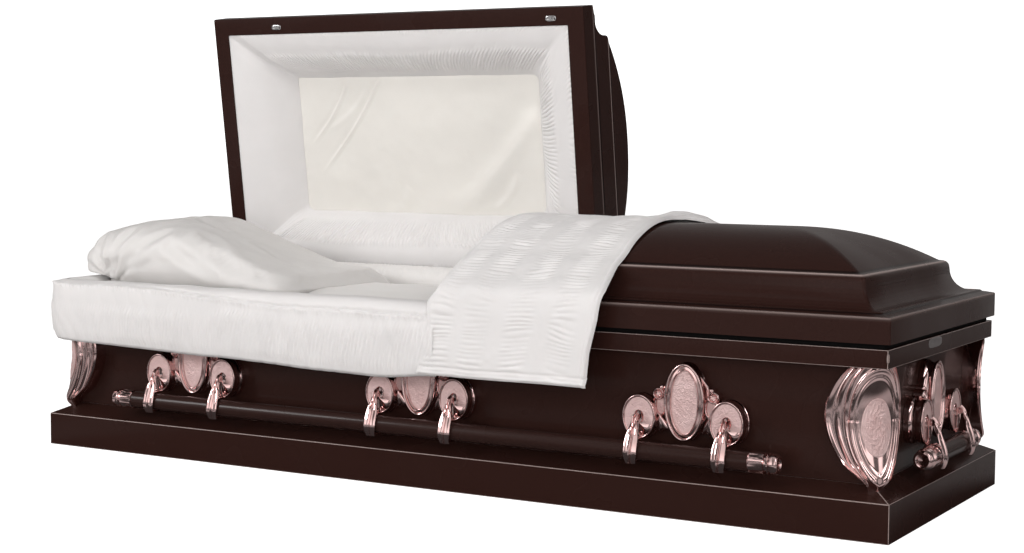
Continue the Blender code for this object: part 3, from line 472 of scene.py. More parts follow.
def paint_material(name, tones, roughness, gloss):
    """Enamel with fine flakes and faint clouds, and painted light from the 'edge' attribute: painted highlight
    lines on edges, painted shade lines in grooves.
    """
    made = new_material(name, tones[0], roughness, 0.0, Specular_IOR_Level=gloss, Coat_Weight=0.10,
                        Coat_Roughness=0.05)
    flakes = noise_node(made, 900.0, 2.0)
    clouds = noise_node(made, 5.0, 3.0)
    tint = ramp(made, flakes, [(0.35, tones[0]), (0.75, tones[1])])
    # The 'edge' attribute paints light: above 0 mixes in the painted highlight colour, below 0 the painted
    # shade colour
    edges = node(made, "ShaderNodeAttribute")
    edges.attribute_name = "edge"
    highlighted = mixed(made, edges.outputs["Fac"], tint, PAINTED_HIGHLIGHT_COLOUR)
    painted_shade_share = scaled(made, edges.outputs["Fac"], "MULTIPLY", -1.0)
    join(made, mixed(made, painted_shade_share, highlighted, PAINTED_SHADE_COLOUR), "Base Color")
    join(made, ramp(made, clouds, [(0.3, roughness * 0.8), (0.7, roughness * 1.25)]), "Roughness")
    bump(made, flakes, 0.04, 0.0004)
    return made


def rose_material(name, roughness, grain=0.0, grain_scale=700.0, lighter=1.0, metallic=1.0):
    """Rose gold plate: mirror-like with faint smears, or pitted when it has grain."""
    made = new_material(name, ROSE_BASE, roughness, metallic)
    clouds = noise_node(made, 40.0, 3.0)
    dark, light = (tuple(lighter * c for c in tone) for tone in ROSE_TONES)
    join(made, ramp(made, clouds, [(0.3, dark), (0.7, light)]), "Base Color")
    if grain:
        bump(made, noise_node(made, grain_scale, 2.0), grain, 0.0022)
    else:
        join(made, ramp(made, clouds, [(0.3, roughness * 0.7), (0.75, roughness * 1.5)]), "Roughness")
    return made


def cloth_material(name, colour, roughness, sheen, weave_scale, weave_strength, satin=0.0):
    """White cloth with faint patches, small creases and a fine weave."""
    made = new_material(name, colour, roughness, 0.0, Sheen_Weight=sheen, Sheen_Roughness=0.4,
                        Subsurface_Weight=0.12, Subsurface_Scale=0.01,
                        Subsurface_Radius=(1.0, 0.9, 0.85), Specular_IOR_Level=0.25 + satin)
    shade = tuple(c * 0.965 for c in colour)
    join(made, ramp(made, noise_node(made, 9.0, 3.0), [(0.35, shade), (0.65, colour)]), "Base Color")
    creases = bump(made, noise_node(made, 55.0, 6.0), 0.12, 0.003)
    bump(made, noise_node(made, weave_scale, 1.0), weave_strength, 0.0004, before=creases)
    return made


PAINT = paint_material("casket_paint", PAINT_TONES, 0.26, 0.07)
PAINT_PALE_AND_HIGHLIGHT = paint_material("casket_paint_pale_and_highlight", PALE_AND_HIGHLIGHT_TONES, 0.30, 0.30)
BAR_PAINT = paint_material("bar_paint", BAR_TONES, 0.24, 0.12)
ROSE = rose_material("rose_gold", 0.10)
ROSE_GRAIN = rose_material("rose_gold_grain", 0.36, 1.0, 430.0, 1.06, 0.60)
SATIN = cloth_material("white_satin", (0.83, 0.815, 0.80), 0.42, 0.25, 2500.0, 0.10, 0.2)
PILLOW_SATIN = cloth_material("pillow_satin", (0.765, 0.75, 0.735), 0.50, 0.25, 2500.0, 0.10, 0.1)
SHIRRED = cloth_material("shirred_cloth", (0.80, 0.785, 0.78), 0.78, 0.25, 1600.0, 0.22)
PANEL_SATIN = cloth_material("panel_satin", (0.82, 0.80, 0.755), 0.45, 0.20, 2500.0, 0.08, 0.2)
RUBBER = new_material("gasket_rubber", (0.005, 0.0045, 0.0045), 0.8, Specular_IOR_Level=0.1)
STEEL = new_material("plain_steel", (0.30, 0.29, 0.29), 0.38, 0.9)
CHROME = new_material("chrome", (0.75, 0.75, 0.76), 0.12, 1.0)
GREY_PLATE = new_material("grey_plate", (0.17, 0.155, 0.155), 0.35, 0.3)


# The painted shells

def supported(line, reach):
    """Adds points near both ends of long stretches, so that shading stays by the edges."""
    found = [line[0]]
    for before, here in zip(line, line[1:]):
        size = np.linalg.norm(here - before)
        if size > 2.5 * reach:
            found += [before + (here - before) * reach / size, here - (here - before) * reach / size]
        found.append(here)
    return np.array(found)


def lid_profile():
    """(inset, z) from the rim's foot to near the ridge, and painted light lines: above 0 for painted
    highlights on edges, below 0 for painted shade in grooves.
    """
    lift = LID_RIM_TOP + LEDGE_LIFT
    points = [(0.0, LID_LOW), (0.0, LID_RIM_TOP), (0.006, LID_RIM_TOP + 0.0012),
              (LEDGE_WIDTH - 0.012, lift - 0.001), (LEDGE_WIDTH - 0.009, lift + 0.002),
              (LEDGE_WIDTH - 0.003, lift + 0.002), (LEDGE_WIDTH, lift)]
    radii = [0, 0.0025, 0.002, 0.001, 0.0015, 0.0015, 0.001]
    for i in range(1, 9):
        angle = i / 8 * pi / 2
        points.append((LEDGE_WIDTH + COVE_WIDTH * sin(angle), lift + COVE_RISE * (1 - cos(angle))))
        radii.append(0.002)
    inset = LEDGE_WIDTH + COVE_WIDTH
    z = lift + COVE_RISE
    points += [(inset + 0.0015, z + 0.010), (inset + 0.007, z + BEAD_RISE - 0.001)]
    radii += [0.003, 0.004]
    inset += BEAD_WIDTH
    z += BEAD_RISE
    crown_rise = LID_TOP - z
    crown_steps = 22
    for i in range(crown_steps + 1):
        share = i / crown_steps
        rise = crown_rise * (1 - (1 - share) ** CROWN_POWER)
        points.append((inset + (LID_HALF - 0.003 - inset) * share, z + rise))
        radii.append(0.004)
    line = supported(supported(rounded(points, radii, 3), 0.0018), 0.004)
    # Painted light lines: painted highlights on the rim's top edge, the ledge and the bead; painted shade on
    # the rim's flat top below the ledge and just above the bead
    painted_light_lines = ((0.0, LID_RIM_TOP, 0.40), (LEDGE_WIDTH - 0.001, lift + 0.001, 0.50),
             (inset - 0.011, z - 0.0005, 1.0), (LEDGE_WIDTH - 0.013, lift - 0.001, -0.9),
             (inset + 0.003, z + 0.002, -0.9))
    edges = np.zeros(len(line))
    for at, height, strength in painted_light_lines:
        away = np.linalg.norm(line - np.array((at, height)), axis=1)
        edges = edges + strength * hill(away, 0, EDGE_WIDTH)
    return line, edges


def loop_round(x_split, x_end, half, corner, straight_x=8, straight_y=5):
    """Points round a cap in plan, with small rounded corners at its outer end."""
    toward = 1 if x_end > x_split else -1
    points = []
    for t in np.linspace(0, 1, straight_x, endpoint=False):
        points.append((x_split + (x_end - toward * corner - x_split) * t, -half))
    for k in range(5):
        angle = pi / 2 * k / 4
        points.append((x_end - toward * corner * (1 - sin(angle)), -half + corner * (1 - cos(angle))))
    for t in np.linspace(0, 1, straight_y + 1)[1:-1]:
        points.append((x_end, -half + corner + 2 * (half - corner) * t))
    for k in range(5):
        angle = pi / 2 * k / 4
        points.append((x_end - toward * corner * (1 - cos(angle)), half - corner * (1 - sin(angle))))
    for t in np.linspace(0, 1, straight_x + 1)[1:]:
        points.append((x_end - toward * corner + (x_split - x_end + toward * corner) * t, half))
    for t in np.linspace(0, 1, straight_y + 1)[1:-1]:
        points.append((x_split, half - 2 * half * t))
    return points


def lid_shell(name, body, split, end, opened):
    """A pressed lid with its rim, cove, bead and crown, flat end wall and inner flange."""
    toward = 1 if end > split else -1
    line, edges = lid_profile()
    rows = []
    painted_light_lines = []
    flange = ((LID_FLANGE, LID_LOW + 0.0012), (LID_FLANGE, LID_LOW), (0.0015, LID_LOW))
    for inset, z in flange:
        loop = loop_round(split + toward * inset, end - toward * inset, LID_HALF - inset, LID_CORNER)
        rows.append([(x, y, z) for x, y in loop])
        painted_light_lines.append(0.0)
    for (inset, z), edge in zip(line, edges):
        corner = LID_CORNER + HIP_CORNER * min(1.0, inset / LID_HALF)
        half = LID_HALF - inset
        loop = loop_round(split, end - toward * inset, half, min(corner, half * 0.9))
        rows.append([(x, y, z) for x, y in loop])
        painted_light_lines.append(edge)
    rows = np.array(rows)
    count = rows.shape[1]
    faces = grid_faces(len(rows), count, wrap_columns=True)
    top = (len(rows) - 1) * count
    faces.append([top + k for k in range(count)])
    mesh = mesh_of(name, head_opened(rows) if opened else rows, faces, 28.0)
    # The painted highlight and painted shade lines go onto the mesh as its 'edge' attribute
    painted_light_attribute = mesh.attributes.new("edge", "FLOAT", "POINT")
    painted_light_attribute.data.foreach_set("value", np.repeat(np.array(painted_light_lines), count).astype(np.float32))
    piece = link(name, mesh, PAINT, body, (name.replace("_paint", "_shell"),))
    thick = piece.modifiers.new("sheet", "SOLIDIFY")
    thick.thickness = SHEET
    thick.offset = -1.0
    return piece


def painted_frame():
    """The CAD's own walls, mouldings and pan, with softened edges in paler paint as a painted highlight, and
    real finishes.
    """
    painted = ("base_moulding", "rim_moulding", "side_panel_front", "side_panel_back",
               "end_panel_head", "end_panel_foot", "bottom_pan")
    for name in painted:
        soften(name, PAINT, 0.0 if "pan" in name else 0.0032)
    soften("gasket", RUBBER, 0.0)
    soften("hinge", STEEL, 0.0)
    soften("bed_frame", STEEL, 0.0)


def soften(name, finish, width):
    piece = frame["nodes"][name]
    piece.data.materials.clear()
    piece.data.materials.append(finish)
    if width:
        # The bevel faces take the paler paint: a painted highlight along every softened edge
        piece.data.materials.append(PAINT_PALE_AND_HIGHLIGHT)
        weld = piece.modifiers.new("weld", "WELD")
        weld.merge_threshold = 0.00001
        bevel = piece.modifiers.new("edge", "BEVEL")
        bevel.width = width
        bevel.segments = 2
        bevel.limit_method = "ANGLE"
        bevel.angle_limit = radians(15)
        bevel.harden_normals = True
        bevel.material = 1


# Cloth

def roll_place(front_in, head_in, radius, along, front_from, head_to):
    """A place on the path along the front, round the head-end corner and along the head end.

    along is a length measured on the outer path; the insets are distances in from the base."""
    centre_x = -HALF_LENGTH + head_in + radius
    centre_y = -HALF_WIDTH + front_in + radius
    front_length = front_from + HALF_LENGTH + ROLL_OUT_HEAD - ROLL_CORNER
    arc_length = ROLL_CORNER * pi / 2
    angle = np.clip((along - front_length) / arc_length, 0, 1) * pi / 2
    on_front = np.clip(along / front_length, 0, 1)
    beyond = np.clip((along - front_length - arc_length) / HEAD_RUN, 0, 1)
    x = front_from + (centre_x - front_from) * on_front
    x = np.where(along >= front_length, centre_x - radius * np.sin(angle), x)
    y = np.where(along >= front_length, centre_y - radius * np.cos(angle), -HALF_WIDTH + front_in)
    y = y + (head_to - centre_y) * beyond
    return x, y


def extendover():
    """Shirred cloth rolled over the rim: smooth above, finely gathered below, softly hemmed."""
    low, high = box_of("extendover")
    front_from = SPLIT_X + 0.0005
    front_length = front_from + HALF_LENGTH + ROLL_OUT_HEAD - ROLL_CORNER
    total = front_length + ROLL_CORNER * pi / 2 + HEAD_RUN
    rows, columns, dense = 62, 1180, 600
    along = np.linspace(0, total, columns)[None, :]
    inside = WALL_INSET + 0.022
    # 1 where it stands out from the base with the roll; inset from there; height; corner radius in plan
    spots = ((0, inside + 0.034, 0.3690, 0.015), (0, inside + 0.014, 0.3740, 0.015),
             (0, inside - 0.004, 0.3850, 0.015), (0, inside - 0.016, 0.3955, 0.020),
             (0, 0.040, ROLL_TOP - 0.0015, 0.030), (0, 0.022, ROLL_TOP, 0.05),
             (1, 0.020, ROLL_TOP - 0.001, 0.070), (1, 0.0055, ROLL_TOP - 0.009, 0.088),
             (1, 0.0, ROLL_TOP - 0.026, ROLL_CORNER), (1, 0.0, 0.330, ROLL_CORNER),
             (1, 0.001, 0.290, ROLL_CORNER), (1, 0.0025, 0.258, ROLL_CORNER), (1, 0.0055, ROLL_HEM, 0.088),
             (1, 0.010, 0.2480, 0.083), (1, 0.0125, 0.258, 0.080), (1, 0.0125, 0.310, 0.080))

    def section(out):
        return np.array([(at - stands * out, height) for stands, at, height, _ in spots])

    front, head = (curve_through(section(out), dense) for out in (ROLL_OUT, ROLL_OUT_HEAD))
    steps = np.arange(dense)
    at_seam = (front[:, 0] < 0.012) & (front[:, 1] > 0.358) & (steps < dense * 0.7)
    weight = np.cumsum(np.where(at_seam, 3.0, 1.0))
    picks = np.interp(np.linspace(weight[0], weight[-1], rows), weight, steps)
    front, head = (np.stack([np.interp(picks, steps, line[:, k]) for k in (0, 1)], -1)
                   for line in (front, head))
    lengths = np.concatenate([[0], np.cumsum(np.hypot(*np.diff(section(ROLL_OUT), axis=0).T))])
    knots = lengths / lengths[-1]
    radius = np.interp(picks / (dense - 1), knots, [spot[3] for spot in spots])[:, None]
    front_in, head_in = front[:, :1] + 0 * along, head[:, :1] + 0 * along
    z_mid = front[:, 1:] + 0 * along
    share = np.clip(along / front_length, 0, 1)
    reach = 0.12 + 0.88 * step(0.46, 0.34, share)
    front_in = np.where(front_in > inside, inside + (front_in - inside) * reach, front_in)
    head_in = np.minimum(head_in, inside + 0.004)
    hem = HEM_SPLIT + (HEM_HEAD - HEM_SPLIT) * share + 0.013 * step(0.16, 0.0, share)
    hem = hem + 0.0035 * (noise(along * 9, 0.0, 3) - 0.5)
    fall = np.clip((0.38 - z_mid) / (0.38 - ROLL_HEM), 0, 1)
    z = z_mid + (hem - ROLL_HEM) * fall + 0.004 * (noise(along * 14, 0.0, 5) - 0.5) * (1 - fall)
    turn = int(np.argmin(front[:, 1]))
    outside = (np.arange(rows) <= turn)[:, None] & (front[:, :1] < 0.01)
    down = np.clip((0.400 - z_mid) / (0.400 - ROLL_HEM), 0, 1) * outside
    belly = 0.0045 * np.sin(pi * down) * (0.55 + 0.9 * noise(along * 5, 1.0, 9))
    sway = along - 0.040 * down + 0.006 * (noise(along * 9, down * 3, 17) - 0.5)
    top_seam = 0.02 + 0.15 * step(0.85, 0.35, share) + 0.020 * (noise(along * 55, 0.0, 13) - 0.5)
    below = step(-0.012, 0.012, down - top_seam) * outside
    band_top = 0.30 + 0.16 * noise(along * 4, 0.0, 14)
    shirr = step(band_top - 0.08, band_top + 0.06, down) * (1 - step(0.84, 0.93, down))
    shirr = shirr * (0.45 + 0.55 * step(0.25, 0.55, noise(along * 13, down * 2.5, 19)))
    shirr = shirr * (1 - 0.45 * step(0.6, 1.0, share))
    fine = shirring(sway, down * 0.15, 0.0098, 0.08, 11) * 0.0062 * shirr
    loose = gathers(along, down * 0.15, 0.040, 0.12, 21) * 0.0022 * below
    near_seam = hill(np.maximum(down - top_seam, 0), 0, 0.05) * below
    pleats = gathers(along, 0.1 + 0 * z_mid, 0.011, 0.2, 31) * near_seam
    seam = hill(down - top_seam + 0.012, 0, 0.016) * outside * step(0.95, 0.80, share)
    push = belly + fine + loose + 0.0062 * pleats + 0.0038 * below - 0.0050 * seam - 0.0065 * outside
    x, y = roll_place(front_in - push, head_in - push, radius, along, front_from, high.y)
    z = z + pleats * 0.0020
    points = np.stack([x, y, z], -1)
    mesh = mesh_of("extendover_cloth", points, grid_faces(rows, columns), 180)
    piece = link("extendover_cloth", mesh, SHIRRED, "shell", ("extendover",))
    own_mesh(piece)


def crown_height(y):
    """Height of the foot cap's surface at a place across it, bridging the cove as cloth does."""
    line, _ = lid_profile()
    inset = LID_HALF - np.abs(y)
    height = np.interp(inset, line[:, 0], line[:, 1])
    bead = LEDGE_WIDTH + COVE_WIDTH + BEAD_WIDTH * 0.5
    bead_z = np.interp(bead, line[:, 0], line[:, 1])
    bridge = LID_RIM_TOP + 0.004 + (bead_z - LID_RIM_TOP - 0.004) * np.clip(inset / bead, 0, 1) ** 0.85
    return np.where(inset < bead, np.maximum(height, bridge), height)


def throw():
    """A throw with four shirred bands down its fall, a rolled hem and a fold-over at the ridge."""
    low = box_of("throw")[0]
    rows, columns = 380, 124
    front, hem_z = low.y + 0.004, low.z
    across = np.linspace(-0.240, 0.258, 60)
    top = crown_height(across) + 0.008
    line = [(front, hem_z), (front - 0.001, 0.30), (front, 0.36), (front + 0.002, 0.405),
            (front + 0.009, 0.431), (front + 0.027, 0.4475), (-0.330, 0.4665), (-0.287, 0.4885)]
    line += [(y, z) for y, z in zip(across[::5], top[::5])]
    path = curve_through(line, rows)
    y, z = path[:, :1], path[:, 1:]
    length = float(np.sum(np.linalg.norm(np.diff(path, axis=0), axis=1)))
    run = np.linspace(0, 1, rows)[:, None] * length
    s = np.linspace(0, 1, columns)[None, :]
    hangs = y < THROW_HANG_Y
    right_hung = np.interp(z, (0.25, 0.32, 0.388, 0.44), (0.437, 0.445, 0.462, 0.468))
    right_over = np.interp(y, (-0.366, -0.287, -0.188, -0.066, 0.03, 0.07, 0.12, 0.19, 0.258),
                           (0.468, 0.4525, 0.444, 0.437, 0.434, 0.445, 0.478, 0.502, 0.508))
    right = np.where(hangs, right_hung, right_over)
    flare = 0.021 * step(0.44, 0.40, z) + 0.0245 * np.clip((0.36 - z) / 0.11, 0, 1)
    left = SPLIT_X + 0.0025 - hangs * flare
    width = right - left
    x = left + width * s + 0.0025 * (noise(s * 3, run * 6, 5) - 0.5)
    across_x = s * width
    bands = sum(np.exp(-((s - centre) / 0.068) ** 4) for centre in THROW_BANDS)
    ticks = gathers(run + 0.003 * noise(across_x * 14, run * 2, 4), across_x, 0.0110, 0.09, 41)
    patches = 0.35 + 0.65 * step(0.15, 0.6, noise(across_x * 26, run * 40, 8))
    lift = 0.0052 * ticks * bands * patches + 0.0034 * (1 - bands)
    lift = lift + 0.0050 * (noise(s * 2.5, run * 4, 15) - 0.5)
    lift = lift + 0.0030 * (rough(across_x * 30, run * 22, 18) - 0.5)
    from_right, from_left, from_hem = (1 - s) * width, s * width, run + 0 * s
    edge = np.minimum(np.minimum(from_right, from_left), np.minimum(from_hem, length - run))
    lift = lift * step(0.0, 0.014, edge) - 0.0035 * (1 - step(0.0, 0.006, edge))
    hems = ((from_hem, 0.0036, 0.019), (from_right, 0.0042, 0.015), (from_left, 0.0024, 0.011))
    for away, height, seam in hems:
        lift = lift + height * hill(away, 0.0055, 0.0045) - 0.0022 * hill(away, seam, 0.0025)
    crumple = 0.75 + 0.5 * noise(run * 45, from_right * 22, 52)
    lift = lift + 0.015 * hill(from_right, 0.034, 0.024) * step(0.02, 0.07, y) * crumple
    base = np.stack([x, y + 0 * x, z + 0 * x], -1)
    normal = grid_normals(base)
    flip = np.sign((normal * np.array([0, -0.6, 1.0])).sum(-1, keepdims=True))
    points = base + normal * np.where(flip == 0, 1, flip) * lift[..., None]
    points[..., 1] += 0.0035 * np.sin(s * 9.0 + 1.0) * step(0.30, 0.0, run)
    mesh = mesh_of("throw_cloth", points, grid_faces(rows, columns), 180)
    piece = link("throw_cloth", mesh, SHIRRED, "foot_cap", ("throw",))


def lining_loop(outer, inner, radii):
    """Columns round the opening: outer place, inner place, length run and side number."""
    def corners(edges):
        x_low, x_high, y_low, y_high = edges
        return [np.array(c) for c in ((x_low, y_low), (x_high, y_low), (x_high, y_high), (x_low, y_high))]

    def turned(corner, before, after, radius, count):
        centre = corner - before * radius + after * radius
        angles = np.linspace(0, pi / 2, count)
        return [centre - after * radius * cos(a) + before * radius * sin(a) for a in angles]

    outer, inner = corners(outer), corners(inner)
    ways = [np.array(way, float) for way in ((1, 0), (0, 1), (-1, 0), (0, -1))]
    out_radius, turns = 0.003, 14
    found_out, found_in, side = [], [], []
    for k in range(4):
        n = (k + 1) % 4
        count = (600, 380, 600, 80)[k]
        start_out, end_out = outer[k] + ways[k] * out_radius, outer[n] - ways[k] * out_radius
        start_in, end_in = inner[k] + ways[k] * radii[k], inner[n] - ways[k] * radii[n]
        for t in np.linspace(0, 1, count, endpoint=False):
            found_out.append(start_out + (end_out - start_out) * t)
            found_in.append(start_in + (end_in - start_in) * t)
            side.append(k)
        found_out += turned(outer[n], ways[k], ways[n], out_radius, turns)[:-1]
        found_in += turned(inner[n], ways[k], ways[n], radii[n], turns)[:-1]
        side += list(k + np.linspace(0, 1, turns)[:-1])
    found_out, found_in = np.array(found_out), np.array(found_in)
    return found_out, found_in, run_along(0.35 * found_out + 0.65 * found_in), np.array(side)


def head_lining():
    """The puffed surround, gathered along its inner half, and the satin panel inside it."""
    end = -HALF_LENGTH + LID_INSET
    box = np.array((end, SPLIT_X - SPLIT_GAP / 2, -LID_HALF, LID_HALF))
    outer = box + (LID_FLANGE + 0.001) * np.array((1, -1, 1, -1))
    inner = box + (LID_FLANGE + np.array(SURROUND_WIDTHS)) * np.array((1, -1, 1, -1))
    out_line, in_line, run, side = lining_loop(outer, inner, (0.006, 0.018, 0.030, 0.020))
    rows = 40
    t = np.linspace(0, 1, rows)[:, None]
    across = run[None, :]
    corner = np.minimum(across, run[-1] - across)
    gathered, puffed, lean = (np.interp(side, np.arange(5), values)[None, :] for values in (
        (1.0, 1.0, 1.0, 0.12, 1.0), (0.016, 0.016, 0.022, 0.014, 0.016), (0.012, 0.0, -0.010, 0.0, 0.012)))
    sway = across + lean * t + 0.005 * (noise(across * 9, t * 3, 44) - 0.5)
    starts = 0.46 + 0.08 * (noise(across * 7, 0.0, 45) - 0.5)
    fine = shirring(sway, t * 0.13, 0.0097, 0.06, 50)
    fine = fine * step(starts - 0.07, starts + 0.05, t) * (1 - step(0.80, 0.90, t))
    ticks = gathers(across, t * 0.13, 0.0090, 0.03, 53) * (1 - step(0.02, 0.14, t))
    soft = gathers(across, t * 0.13, 0.045, 0.10, 55) * step(0.1, 0.4, t)
    lift = puffed * np.sin(pi * t) ** 0.8 + gathered * (0.0060 * fine + 0.0026 * ticks + 0.0016 * soft)
    lift = lift * (0.35 + 0.65 * step(0.0, 0.035, corner)) - 0.002 * hill(t, 0.985, 0.02)
    z = LID_LOW + 0.002 + SURROUND_DEPTH * (0.70 * t + 0.30 * t ** 3) - lift
    place = out_line[None] * (1 - t[..., None]) + in_line[None] * t[..., None]
    points = head_opened(np.concatenate([place, z[..., None]], -1))
    faces = grid_faces(rows, len(run), wrap_columns=True)
    mesh = mesh_of("lining_surround", points, faces, 180)
    piece = link("lining_surround", mesh, SHIRRED, "head_cap", ("head_cap_surround",))
    lining_panel(inner)


def lining_panel(inner):
    """The satin panel: a shallow pillow of cloth with a few long folds."""
    rows, columns = 112, 190
    x_low, x_high, y_low, y_high = inner + 0.005 * np.array((-1, 1, -1, 1))
    x = np.linspace(x_low, x_high, columns)[None, :]
    y = np.linspace(y_low, y_high, rows)[:, None]
    u = (x - x_low) / (x_high - x_low)
    v = (y - y_low) / (y_high - y_low)
    z = LID_LOW + SURROUND_DEPTH - 0.004 - 0.008 * np.sin(pi * u) ** 0.5 * np.sin(pi * v) ** 0.5
    for u0, v0, u1, v1, height, wide in PANEL_FOLDS:
        along = np.array([u1 - u0, (v1 - v0) * 0.45])
        size = np.linalg.norm(along)
        along = along / size
        du, dv = u - u0, (v - v0) * 0.45
        reach = (du * along[0] + dv * along[1]) / size
        away = (-du * along[1] + dv * along[0]) + 0.012 * np.sin(reach * 4)
        fade = step(-0.05, 0.12, reach) * step(1.08, 0.75, reach)
        z = z - height * fade * hill(away, 0, wide)
        z = z + height * 0.5 * fade * hill(away, 1.8 * wide, 1.5 * wide)
    z = z - 0.0030 * (rough(u * 7, v * 4, 90) - 0.5) * 2
    x, y, z = np.broadcast_arrays(x, y, z)
    points = head_opened(np.stack([x, y, z], -1))
    mesh = mesh_of("lining_panel", points, grid_faces(rows, columns), 180)
    piece = link("lining_panel", mesh, PANEL_SATIN, "head_cap", ("head_cap_panel",))


def mattress():
    """The mattress in its satin cover: rounded sides, and crowned where the pillow leaves it bare."""
    low, high = box_of("mattress")
    rows, columns = 90, 160
    middle, half = (low + high) / 2, (high - low) / 2
    u = np.sin(np.linspace(-1, 1, columns)[None, :] * pi / 2)
    v = np.sin(np.linspace(-1, 1, rows)[:, None] * pi / 2)
    x, y = middle.x + half.x * u, middle.y + half.y * v
    inset_x, inset_y = half.x * (1 - np.abs(u)), half.y * (1 - np.abs(v))
    round_off = 1.0
    for inset in (inset_x, inset_y):
        round_off = round_off * np.sqrt(1 - (1 - np.clip(inset / MATTRESS_ROUND, 0, 1)) ** 2)
    crown = MATTRESS_CROWN * step(0.03, 0.19, inset_y) * step(0.03, 0.20, inset_x) * step(-0.52, -0.40, x)
    z = high.z - 1.6 * MATTRESS_ROUND * (1 - round_off) + crown
    z = z + 0.003 * (rough(x * 9 + 3 * v, y * 11, 71) - 0.5) * 2 * round_off
    top = np.stack(np.broadcast_arrays(x, y, z), -1).reshape(-1, 3)
    ring = list(range(columns)) + [(r + 1) * columns - 1 for r in range(1, rows)]
    ring += [rows * columns - 1 - k for k in range(1, columns)]
    ring += [(rows - 1 - r) * columns for r in range(1, rows - 1)]
    under = top[ring]
    under[:, 2] = low.z
    base = len(top)
    faces = grid_faces(rows, columns)
    for k, a in enumerate(ring):
        n = (k + 1) % len(ring)
        faces.append([a, base + k, base + n, ring[n]])
    faces.append([base + k for k in reversed(range(len(ring)))])
    mesh = mesh_of("mattress_satin", np.vstack([top, under]), faces, 60)
    piece = link("mattress_satin", mesh, SATIN, "shell", ("mattress",))
    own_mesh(piece)


def pillow():
    """A long down pillow with full corners, swollen by pressure, sinking towards the foot end."""
    low, high = box_of("pillow")
    inner_end = low.x
    low.x, high.x = low.x - PILLOW_OVERHANG, high.x - PILLOW_SHORT
    middle = (low + high) / 2
    half = (high - low) / 2
    rows, columns = 50, 120
    lean = np.linspace(-pi / 2, pi / 2, rows)[:, None]
    turn = full_turn(columns)
    along, across = squarish(turn, PILLOW_CORNERS)
    reach = np.cos(lean) ** PILLOW_ROUND
    x = middle.x + half.x * 0.985 * reach * along
    y = middle.y + half.y * 0.985 * reach * across
    height = np.sin(lean)
    toward_foot = (x - low.x) / (high.x - low.x) + 0.25 * (y - low.y) / (high.y - low.y)
    fall = 1.0 - 0.70 * step(0.40, 1.05, toward_foot)
    away = np.hypot((x - low.x) / 0.16, (y - low.y) / 0.16)
    fall = fall * (1 - 0.08 * np.exp(-away ** 2))
    thin = (high.z - low.z) * 0.96
    z = low.z + 0.002 + thin * fall * np.where(height > 0, 0.42 + 0.58 * height, 0.42 * (1 + height))
    x, y, z = np.broadcast_arrays(x, y, z)
    points = np.stack([x, y, z], -1)
    mesh = mesh_of("pillow_satin", points, grid_faces(rows, columns, wrap_columns=True), 180)
    piece = link("pillow_satin", mesh, PILLOW_SATIN, "shell", ("pillow",))
    weld = piece.modifiers.new("weld", "WELD")
    weld.merge_threshold = 0.0001
    apply_modifiers(piece)
    swell(piece, PILLOW_VOXEL, PILLOW_PRESSURE, PILLOW_SWELL)
    crease(piece, low, high, inner_end)
    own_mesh(piece)


def apply_modifiers(piece):
    view = bpy.context.evaluated_depsgraph_get()
    view.update()
    fresh = bpy.data.meshes.new_from_object(piece.evaluated_get(view))
    piece.modifiers.clear()
    piece.data = fresh


def swell(piece, voxel, pressure, cap):
    """Voxel remesh, then a short pressure simulation, limited to a small movement."""
    remesh = piece.modifiers.new("voxels", "REMESH")
    remesh.mode = "VOXEL"
    remesh.voxel_size = voxel
    apply_modifiers(piece)
    rest = np.array([v.co for v in piece.data.vertices])
    cloth = piece.modifiers.new("cloth", "CLOTH")
    for key, value in (("quality", 5), ("mass", 0.3), ("tension_stiffness", 8),
                       ("compression_stiffness", 8), ("bending_stiffness", 0.3),
                       ("use_pressure", True), ("uniform_pressure_force", pressure)):
        setattr(cloth.settings, key, value)
    cloth.settings.effector_weights.gravity = 0.0
    scene = bpy.context.scene
    for k in range(CLOTH_FRAMES):
        scene.frame_set(k + 1)
    view = bpy.context.evaluated_depsgraph_get()
    moved_mesh = bpy.data.meshes.new_from_object(piece.evaluated_get(view))
    moved = np.array([v.co for v in moved_mesh.vertices])
    piece.modifiers.clear()
    scene.frame_set(1)
    shift = moved - rest
    size = np.linalg.norm(shift, axis=1, keepdims=True)
    shift = shift * np.minimum(1.0, cap / np.maximum(size, 1e-9))
    piece.data.vertices.foreach_set("co", (rest + shift).astype(np.float32).ravel())
    piece.data.shade_smooth()


